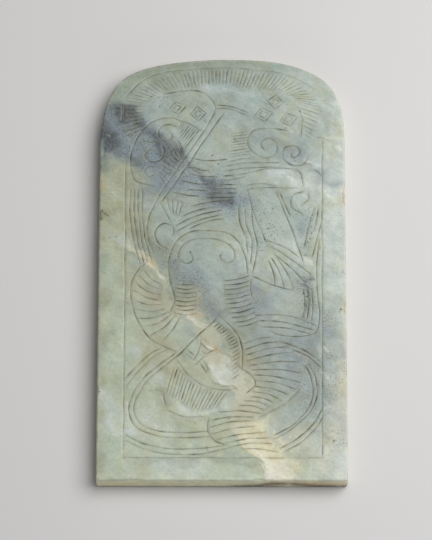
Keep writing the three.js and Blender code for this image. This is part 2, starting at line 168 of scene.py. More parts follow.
# Table and lights, in metres
TABLE_SIZE = 6
TABLE_COLOUR = (0.62, 0.615, 0.615, 1)
KEY_PLACE = (0.27, 0.09, 0.49)
KEY_SIZE = 0.56
KEY_POWER = 3.85
FRONT_PLACE = (0.1, -0.8, 0.16)
FRONT_SIZE = 0.6
FRONT_POWER = 1.6
LAMP_COLOUR = (1, 0.99, 0.975)
ROOM_LIGHT = 0.2
ROOM_COLOUR = (0.97, 0.985, 1, 1)


# The tangent of a centripetal curve at its middle place, for the step that starts or ends there.
def tangent(before, here, after, step_before, step_after, step):
    slope = (here - before) / step_before - (after - before) / (step_before + step_after)
    return (slope + (after - here) / step_after) * step


# A smooth curve through the given places, sampled at even steps of its own parameter.
def smooth(places, samples=None):
    knots = np.array(places, float)
    ends = [2 * knots[0] - knots[1], 2 * knots[-1] - knots[-2]]
    padded = np.vstack([ends[0], knots, ends[1]])
    gaps = np.maximum(np.linalg.norm(np.diff(padded, axis=0), axis=1) ** 0.5, 1e-4)
    spans = len(knots) - 1
    count = spans * STEPS_PER_SPAN + 1 if samples is None else samples
    points = []
    for position in np.linspace(0, spans, count):
        i = min(int(position), spans - 1)
        t = position - i
        before, start, end, after = padded[i : i + 4]
        leave = tangent(before, start, end, gaps[i], gaps[i + 1], gaps[i + 1])
        arrive = tangent(start, end, after, gaps[i + 1], gaps[i + 2], gaps[i + 1])
        points.append(
            start * (2 * t**3 - 3 * t**2 + 1)
            + leave * (t**3 - 2 * t**2 + t)
            + end * (3 * t**2 - 2 * t**3)
            + arrive * (t**3 - t**2)
        )
    return np.array(points)


# Lengths along a path, from its first point to each point.
def lengths(path):
    return np.concatenate([[0], np.cumsum(np.linalg.norm(np.diff(path, axis=0), axis=1))])


# The same path as steps of one length, near the given one.
def even(path, step):
    along = lengths(path)
    count = max(int(round(along[-1] / step)), 2) + 1
    wanted = np.linspace(0, along[-1], count)
    return np.column_stack([np.interp(wanted, along, path[:, k]) for k in (0, 1)])


# Unit vectors to the left of a path at each of its points.
def left_of(path, closed=False):
    if closed:
        ahead = np.roll(path, -1, axis=0) - np.roll(path, 1, axis=0)
    else:
        ahead = np.gradient(path, axis=0)
    ahead /= np.linalg.norm(ahead, axis=1)[:, None]
    return np.column_stack([-ahead[:, 1], ahead[:, 0]])


# Soft random hills and hollows about one scale wide, with a spread of about 1 round 0.
def hills(points, scale, seed):
    maker = np.random.default_rng(seed)
    total = np.zeros(len(points))
    for _ in range(WAVES):
        heading = maker.uniform(0, 2 * math.pi)
        wave = 2 * math.pi / (scale * maker.uniform(1.2, 2.8))
        phase = maker.uniform(0, 2 * math.pi)
        total += np.cos(points @ [wave * math.cos(heading), wave * math.sin(heading)] + phase)
    return total * math.sqrt(2 / WAVES)


# Soft random shifts across and up.
def sway(points, scale, seed, amount):
    return amount * np.column_stack([hills(points, scale, seed), hills(points, scale, seed + 1)])


# Each line of the design: its path with the half width, depth and dirt at every point.
lines = []


# Adds one line, cut by hand: its ends thin out, and its width and place waver a little.
def cut(points, width, depth):
    path = even(np.array(points, float), SECTION)
    along = lengths(path)
    to_end = np.minimum(along, along[-1] - along)
    count = len(lines)
    swell = np.clip(1 + HAND_WIDTH * hills(path, WIDTH_WAVE, WIDTH_SEED + count), *WIDTH_RANGE)
    tip = TIP_SHARE + (1 - TIP_SHARE) * np.clip(to_end / min(TAPER, along[-1] / 3), 0, 1)
    weight = RANDOM.uniform(*PRESSURE) * swell * tip
    drift = HAND_DRIFT * hills(path, DRIFT_WAVE, DRIFT_SEED + count)
    held = np.clip(1 + HAND_DIRT * hills(path, DIRT_WAVE, DIRT_SEED + count), *DIRT_RANGE)
    lines.append({
        "path": path + left_of(path) * drift[:, None],
        "half": weight * width / 2,
        "depth": weight * depth,
        "dirt": weight * held,
    })


def curve(*places):
    cut(smooth(places), CURVE_WIDTH, CURVE_DEPTH)


# A row of strokes from one rail to another. A bulge bows each stroke to its right.
def hatch(start_rail, end_rail, count, bulge=0):
    for start, end in zip(smooth(start_rail, count), smooth(end_rail, count)):
        along = (end - start) / np.linalg.norm(end - start)
        middle = (start + end) / 2 + np.array([along[1], -along[0]]) * bulge
        cut(smooth([start, middle, end]), HATCH_WIDTH, HATCH_DEPTH)


# Lines side by side, each one gap to the left of the line before it.
def strands(places, count, gap):
    spine = smooth(places)
    for i in range(count):
        cut(spine + left_of(spine) * gap * i, CURVE_WIDTH, CURVE_DEPTH)


# An eye: one diamond inside another, with its long axis turned by the tilt. Each side is one cut.
def eye(across, up, half_long, half_short, tilt):
    turn = math.radians(tilt)
    long_axis = np.array([math.cos(turn), math.sin(turn)])
    short_axis = np.array([-math.sin(turn), math.cos(turn)])
    for size in EYE_SIZES:
        reach = half_long * size * long_axis
        rise = half_short * size * short_axis
        corners = np.array([across, up]) + [reach, rise, -reach, -rise]
        for start, end in zip(corners, np.roll(corners, -1, axis=0)):
            cut(np.linspace(start, end, 3), HATCH_WIDTH, CURVE_DEPTH)


# A spiral that winds in anticlockwise from its outer radius to its inner one.
def spiral(across, up, outer, inner, start_angle, turn):
    share = np.linspace(0, 1, SPIRAL_POINTS)
    angle = np.radians(start_angle + turn * share)
    radius = outer + (inner - outer) * share
    arm = np.column_stack([np.cos(angle), np.sin(angle)]) * radius[:, None]
    cut([across, up] + arm, CURVE_WIDTH, CURVE_DEPTH)


# The frame line just inside the edge, arched at the top and square below.
def border():
    curve([-28.2, 6.8], [-28.3, 60], [-28.4, 99.5])
    curve([28.6, 6.8], [28.9, 40], [29.3, 106])
    curve([-28.2, 6.8], [28.6, 6.8])
    curve(
        [-29, 119.5], [-22, 126.1], [-10, 128.7], [3, 129.2], [15, 127.9], [22, 125.8],
        [27, 122.4],
    )
    curve([28.7, 106.7], [32.5, 105.7])


# The mane: a band of short strokes that rises over both heads under the arch.
def crest():
    hatch(
        [
            [-28.5, 107.3], [-28.2, 118.4], [-19.5, 125.6], [-9, 128.2], [0.3, 128.8],
            [10, 128.2], [19.8, 125.8],
        ],
        [
            [-23.7, 109.6], [-22.4, 117.6], [-16.2, 121.9], [-8, 123.3], [0, 124.1], [8, 122.9],
            [16, 122],
        ],
        49,
    )
    hatch(
        [[21.2, 125], [28.8, 116.5], [25.7, 106.6]],
        [[17, 121.8], [22.2, 118.5], [24, 107.9]],
        17,
    )


# The head that looks left: nested diamond eyes, brow spiral, nostrils, hatched jaw and the long strap
# that falls from its crown.
def left_head():
    curve(
        [-17, 120.8], [-10, 121.9], [-5.2, 120.8], [-2.1, 116.5], [-4.8, 110], [-13, 97],
        [-20, 85], [-22, 77], [-20, 70],
    )
    curve([0.5, 114.7], [-4, 107.9], [-9.5, 98.8], [-14.8, 90.8], [-17.8, 86.2])
    curve([-18.2, 86], [-15.1, 79.7])
    curve(
        [-11.8, 111.7], [-15, 113], [-20, 112], [-24.8, 107], [-26.9, 99.5], [-25.6, 93],
        [-20.3, 91.1],
    )
    curve([-1.9, 117.2], [3, 116.6], [7.1, 115.1])
    curve([-1.9, 116.1], [2, 116], [6.8, 114.1])
    eye(-13.4, 116.2, 2.6, 2, 14)
    eye(-7.2, 114.4, 2.25, 2.4, 6)
    spiral(-16.2, 107.6, 3.6, 0.9, 36, 378)
    curve([-24.5, 106.3], [-22, 105.3], [-18.3, 105.8])
    curve(
        [-19.3, 101.8], [-21.2, 102.8], [-22.8, 101.2], [-21.2, 99], [-18.2, 99.6],
        [-17.1, 102.8], [-17.9, 104.5],
    )
    curve([-19.9, 97], [-21.6, 97.4], [-22.9, 96], [-21.5, 94.1], [-19.9, 95])
    hatch([[-11.9, 111.5], [-6.9, 109.1]], [[-13.2, 109.4], [-11, 103.5]], 8)
    curve([-11.5, 111.9], [-9.5, 111], [-6.5, 108.9])
    hatch(
        [[-18.6, 94.6], [-18, 98.8], [-14.6, 104], [-13, 106]],
        [[-17, 92], [-13.2, 98.6], [-11.3, 102]],
        12,
    )
    hatch([[-16.2, 87.3], [-11.6, 86.2]], [[-15.1, 82.3], [-12.8, 81.8]], 4)
    curve([-14.4, 75.5], [-14.2, 77.8], [-17, 79.2], [-19.6, 76.5], [-18.5, 73], [-16, 71.2])


# Four strands that hang from the left head along the frame.
def left_straps():
    strands([[-26.9, 90], [-26.9, 82], [-25.9, 74], [-23.9, 66.3]], 4, 1.15)
    curve([-23.9, 65.5], [-22.5, 66.5], [-21.8, 67.8])


# Short lines across the neck and chest between the two heads.
def chest():
    curve([-8, 99.8], [-4.8, 99.2], [1.4, 99.7])
    curve([-9.5, 97], [-8, 97], [-6.6, 96.3], [-4.2, 96.2])
    curve([-9.2, 95], [-7, 94.4], [-2.4, 94.2])
    curve([-12.3, 93], [-8, 91.9], [-4.2, 91.7])
    curve([-10.1, 90.1], [-4.4, 89.7])
    curve([-14.4, 89.1], [-11, 88.3], [-7.2, 88])
    hatch([[-4.5, 87.6], [-1, 91.6]], [[3.5, 87.6], [4.2, 91.6]], 4)
    curve([-8.7, 84.9], [-4, 86.1], [2.2, 86.6])
    curve([-12, 81.4], [-9, 82.8], [-2.5, 84.7])
    curve([-13.3, 78.7], [-8.5, 81.4], [-0.3, 83.6])
    curve([-13.4, 76.7], [-8, 79.8], [0, 82.2])
    curve([-9.2, 77.8], [-4.5, 79.9], [0.3, 80.8])


# The round-topped shape in the middle, with a curl turned in at each side.
def mask():
    curve(
        [5.5, 72.7], [2, 76], [-3, 77.1], [-9, 76.6], [-13.3, 73.7], [-15.6, 67], [-14.9, 60.5],
        [-13.7, 55], [-15.2, 51.6],
    )
    curve(
        [-9.4, 70.2], [-8.5, 68], [-10, 66.7], [-12.8, 68.3], [-12.2, 71.5], [-9, 74],
        [-4, 74.6], [0.5, 73.5], [3.3, 71], [3.4, 68], [1.2, 66.9], [-0.7, 68.9], [0, 70.2],
    )


# Strands that fall from the throat of the right head.
def middle_straps():
    curve([4.9, 84.9], [5, 80], [6.8, 74.5], [7.4, 70])
    curve([6.6, 84], [7, 79], [8.6, 74], [8.3, 66.8])
    curve([8.5, 84], [9, 78], [10.2, 72.5], [8.8, 63.9])
    curve([7.4, 90], [8.2, 86], [9.8, 81], [12.7, 73.4])
    curve([5.4, 72.5], [6.9, 68], [7.4, 63.5])


# Bands that join the neck to the right head, and the rungs behind them.
def neck():
    curve([1.9, 98.9], [5, 99.8], [8.5, 100.3])
    curve([0.8, 97.4], [5.5, 98.5], [16.9, 98.7])
    curve([1.2, 96.1], [6, 96.8], [16.9, 97.4])
    curve([0.5, 94.4], [5.5, 95], [14, 96.8], [22.3, 96], [23.8, 91.3])
    curve([0.8, 92.9], [3, 93.4], [6.8, 94.3])
    hatch([[2.7, 108], [2.5, 100.5]], [[7.2, 108.6], [7.8, 101.5]], 9)
    curve([7.3, 91.4], [11.5, 92], [16.2, 91.1])
    curve([7.5, 90.3], [12, 90.7], [21.5, 90.6])


# The head that looks right: a large brow spiral, two small spirals and three nested diamond eyes.
def right_head():
    curve(
        [19.5, 108.9], [13, 109.7], [9, 108.8], [7.4, 106], [8.3, 102.7], [12.8, 100.2],
        [15.7, 101.8], [15.9, 105], [13.5, 106.6], [11.3, 104.9], [12.4, 102.7],
    )
    curve(
        [20.3, 102], [20.6, 100.3], [22.8, 102], [21.5, 104], [18.4, 103.5], [17.7, 100.5],
        [20.2, 98], [23.8, 98.2], [25.3, 101],
    )
    curve([24, 98.3], [25.2, 98.4], [26.7, 97.5])
    curve([23.7, 89.4], [20.6, 88.2], [20.3, 84.6], [23.7, 82.3])
    curve([25, 89], [25.3, 87.2], [23.5, 85.4])
    curve([27, 96.4], [28.5, 95.3], [29, 94.5])
    eye(12, 114.2, 2.8, 2.4, 12)
    eye(15.6, 118.2, 2.3, 2.3, -5)
    eye(19.4, 112.6, 2.7, 2.1, 16)
    curve([22.3, 116.2], [23.4, 113], [23.3, 107.5])


# Long lines that fall from the right head along the frame.
def right_straps():
    curve([15.6, 89.4], [19, 80.8], [22.3, 71.5], [23.6, 67])
    curve([16.8, 89], [18.2, 85.5], [20, 81.5])
    curve([27, 84.4], [25.3, 79], [23.9, 72])
    curve([28.2, 84], [27.4, 80], [26.7, 77])
    curve([29.2, 80.5], [28, 76], [26.3, 69])


# A spray of strokes below the right straps.
def right_fan():
    curve([13, 74], [18, 71.9], [22.3, 68.8])
    curve([13.2, 72.1], [16.3, 70.7], [21, 67.3], [25.7, 63.3])
    curve([14.9, 69.7], [19, 66.3], [24, 60.8])
    curve([15.7, 68.7], [18.6, 64.2], [20.5, 59.3])
    curve([14.4, 68.5], [16.6, 64], [18, 59.2])
    curve([13.6, 67.5], [14.9, 63.5], [15.2, 60])
    curve([8.8, 62.7], [13, 60.7], [18, 58.9], [20.5, 58.4])


# The bands and the rounded end at the right of the belly.
def belt():
    curve([9.8, 50.7], [17.5, 50.6], [23, 49.3], [26.8, 47.5])
    curve([11, 48.8], [17, 48.6], [26.5, 46])
    curve([11.5, 47], [17, 46.8], [25.7, 44.8])
    curve(
        [13.5, 45.8], [17, 44.4], [23, 44], [27, 45.5], [28.2, 50], [27.6, 58], [27.5, 66],
        [28.3, 74],
    )
    hatch([[23.6, 58.5], [26, 58.8]], [[23.4, 50], [25.8, 49]], 3, -0.4)


# Two stacks of ribs, left and right of the belly.
def ribs():
    hatch([[0.7, 61.3], [1.1, 54.1], [4.5, 47]], [[7.9, 62.9], [8.2, 55.6], [10.2, 48.6]], 11, 0.4)
    hatch([[-13.5, 60.3], [-13.5, 51.1]], [[-7.8, 60.3], [-7.8, 51.1]], 8, 0.4)
    curve([8.5, 62], [8.2, 59], [8.6, 56])


# The wing at the left, a fan of strokes inside one round outline.
def wing():
    curve([-23.9, 65.5], [-26, 61.5], [-26.5, 56], [-25, 50], [-20.5, 42.8], [-13.5, 39.4])
    hatch(
        [[-23, 65], [-25.8, 58.2], [-24.6, 49.5], [-18, 42]],
        [[-17.8, 60.2], [-18, 55.2], [-15.9, 51.3], [-12.2, 50.4]],
        10, 0.7,
    )


# The slanted line and the curved column of rungs below the belly.
def column():
    curve([-13.1, 37.6], [-9, 42], [-4.5, 46.7], [-1.7, 49.6])
    hatch([[-2.4, 46.8], [2.4, 41.2], [3.1, 31]], [[-1, 48], [4.2, 42.3], [4.6, 32.2]], 17)
    curve([-0.6, 50], [3, 46.5], [5.5, 42], [5.8, 34])


# The small claw in the middle of the lower field.
def claw():
    curve([-6.1, 43.8], [-6.3, 41], [-7.9, 37.2], [-8.5, 36.8])
    curve([-10.5, 38.7], [-8.4, 36.9])
    curve([-10.2, 39.8], [-8, 38])
    curve([-7.6, 35.3], [-3.5, 39.2], [-1.8, 40])
    curve([-6.3, 42], [-3.8, 39.6], [-2.7, 39.4])
    curve([-5.8, 43.2], [-4, 42])
    curve([-6, 39.6], [-5, 38.6], [-4, 38.9])
    curve([-6.2, 35.5], [-4.6, 32.8])
    curve([-5.7, 36.8], [-4.2, 34.3], [-4.3, 33])


# Paired lines that loop round the lower left.
def loops():
    curve([-28.2, 30.3], [-24.5, 34.9], [-20.2, 38.9], [-17.8, 40.2])
    curve([-28, 28], [-24, 33.4], [-19.5, 37.9], [-15.8, 40])
    curve(
        [-13.5, 38.7], [-18, 35.3], [-24.3, 29], [-26.7, 21.5], [-25, 16.6], [-19.8, 13.7],
        [-11, 12.8], [-3.7, 13.3],
    )
    curve(
        [-11.3, 39.2], [-15.6, 35.6], [-22.3, 29.3], [-25.2, 22], [-23.3, 17], [-17, 14.7],
        [-8, 14.5], [-4, 14.9],
    )
    curve([-27.8, 13.8], [-22.5, 11], [-15, 9.5], [-7, 9.6], [1, 10.6])
    curve([-28, 12], [-22.5, 9.6], [-15.5, 8], [-7, 7.9], [3, 10])


# The fan of fine strokes inside the loop.
def lower_fan():
    curve([-13.2, 36.8], [-9, 31.3], [-4.7, 28.4], [1, 27.5], [4.2, 27.9])
    curve([-0.5, 28.4], [3.5, 28.6], [4.3, 27.7])
    hatch(
        [[-13.6, 35], [-9.4, 30.8], [-4.5, 27.6], [1.3, 26.9]],
        [[-16.1, 26.4], [-11.6, 23.8], [-7.4, 21.2], [-1.9, 22]],
        17,
    )
    curve([-15.5, 21.2], [-11, 19.4], [-5, 19.3])


# The spread of long strokes at the lower right, and the knot that it springs from.
def feathers():
    hatch(
        [[6.1, 41.6], [7.4, 36.5], [9.3, 32.1], [8.8, 27], [5.1, 22.8]],
        [[14.2, 43.7], [20.4, 39], [22.5, 29.8], [16.7, 24.5], [11.8, 21.4]],
        13, -0.6,
    )
    hatch(
        [[-0.9, 20.7], [-3.7, 15.9], [-1.3, 12.4], [3.3, 10.4]],
        [[11.1, 20.3], [7.5, 18.1], [12.1, 14.5], [14.2, 11.1]],
        7, -0.5,
    )
    curve([5.8, 9.6], [10, 9.6], [16, 8.5])
    curve([-3.8, 18.7], [-4.1, 15], [-2, 11.9], [1.2, 10.7])
    curve([5.3, 34.2], [8.2, 32.1], [9.6, 29.2], [7, 26.4])


# Paired bands that sweep round the lower right.
def side_bands():
    curve([14.9, 13.6], [20.9, 17.3], [24.8, 22.2], [26.2, 27], [25.6, 31.4], [24.1, 34.8])
    curve([15.1, 12.4], [18.8, 14.8], [25.5, 21.2], [27.4, 27], [26.7, 32], [24.8, 35.4])
    curve([16.8, 9.8], [21.5, 12.7], [26, 17], [29.1, 22.5])
    curve([17.3, 8.4], [22, 11.2], [26.5, 15.5], [29.2, 19.6])
    curve([17, 42.4], [22, 40.6], [25.5, 38.5], [28.4, 36.2])
    curve([20.5, 39.8], [24.5, 38], [28.3, 34.5])


# The faint lower edge of the spread of strokes.
def hem():
    curve([10, 18.8], [14.5, 21.1], [20, 25], [22.5, 27.8])


# Fine natural cracks in the stone, and a short dark line cut along the lower edge of the vein near
# its foot.
def cracks():
    for places in (
        [[-20.8, 27.3], [-19, 27.6], [-17.5, 27], [-16.5, 26.5]],
        [[-17, 26], [-16.6, 24], [-16.2, 22.6]],
        [[-2.8, 29.6], [0.4, 28.6], [2.4, 28.1], [4, 27.7]],
        [[10.4, 6.6], [11.6, 5.4], [12.2, 3.8]],
        [[-29.7, 112], [-29.5, 114.4], [-29.7, 117]],
        [[-28.9, 112.6], [-28.8, 116.6]],
    ):
        cut(smooth(places), CRACK_WIDTH, CRACK_DEPTH)


# Every motif with how broad and how dark its lines are
MOTIFS = [
    [border, 0.8, 0.6], [crest, 0.95, 0.6], [left_head, 1.15, 0.85], [left_straps, 0.95, 0.8],
    [chest, 1.05, 1.15], [mask, 1.2, 0.7], [middle_straps, 1, 0.95], [neck, 1.05, 0.65],
    [right_head, 1.4, 0.65], [right_straps, 1.15, 0.8], [right_fan, 1, 1], [belt, 1.05, 1],
    [ribs, 1.1, 1.1], [wing, 1.1, 0.8], [column, 1.05, 1.2], [claw, 1, 0.75],
    [loops, 1.15, 0.65], [lower_fan, 1, 0.7], [feathers, 1.15, 0.95], [hem, 2, 0.35],
    [side_bands, 1.1, 1], [cracks, 1, 0.7],
]

# Small natural pits: place across and up, then radius
PITS = [
    [-21.1, 119.8, 0.35], [-19, 119.6, 0.3], [-18.6, 116.6, 0.3], [-13.9, 117.6, 0.25],
    [-3, 101, 0.35], [-1.3, 98.2, 0.35], [3.6, 106.1, 0.35], [22.8, 115.2, 0.4],
    [-9.4, 70.2, 0.35], [-11.3, 60.3, 0.35], [-6.3, 62.2, 0.25], [-7.5, 64, 0.25],
    [13.3, 77.7, 0.35], [14.2, 75.7, 0.3], [11, 80.3, 0.25], [14.7, 84, 0.25], [32, 12, 0.4],
    [-34.2, 82.2, 0.5], [-33.6, 81.7, 0.35], [-31, 75, 0.3], [-33, 74.8, 0.25],
    [26.2, 82, 0.25], [25.9, 78.2, 0.3], [26, 76.3, 0.3], [25.6, 74.5, 0.3], [24.8, 73.3, 0.3],
    [24.6, 56.4, 0.4], [23.4, 57.4, 0.3], [34.3, 52.4, 0.45], [33.9, 51.6, 0.3],
]
PIT_DEPTH = 0.1
PIT_DIRT = 1.2

# The colours of the stone, as they look in the photograph's light
LICHEN = (156, 170, 161)
WILLOW = (186, 196, 174)
CELADON = (182, 193, 182)
SAGE = (171, 177, 151)
MOSS = (144, 156, 136)
MILK = (206, 213, 203)
FROST = (198, 211, 210)
MIST = (146, 161, 158)
PEBBLE = (141, 153, 149)
HAZE = (127, 142, 151)
SLATE = (112, 126, 134)
SMOKE = (90, 103, 110)
SOOT = (46, 53, 52)
OLIVE = (138, 146, 130)
DRAB = (156, 158, 130)
BUFF = (168, 168, 140)
TAN = (184, 176, 142)
OCHRE = (192, 164, 112)
DUNE = (184, 185, 158)
# The walls' own tan, made lighter as painted light for the glow through the translucent stone
WALL = (224, 218, 180)
BROWN = (84, 72, 46)
STRAW = (226, 221, 184)
SAND = (200, 198, 172)
CREAM = (226, 223, 202)
PEARL = (196, 197, 182)
ROSE = (188, 176, 152)
HONEY = (224, 200, 150)
UMBER = (122, 120, 98)
WHITE = (238, 238, 224)
SMOKY = (SMOKE, SOOT)
MILKY = (MILK, FROST)

# These multiply the stone's colour: the dirt in a line, warm and cool patches, and a little darkening
# of all of it, as its polish adds light
LINE_DIRT = (138, 134, 110)
WARM_TINT = (250, 247, 233)
COOL_TINT = (244, 249, 250)
UNDER_POLISH = (241, 241, 243)
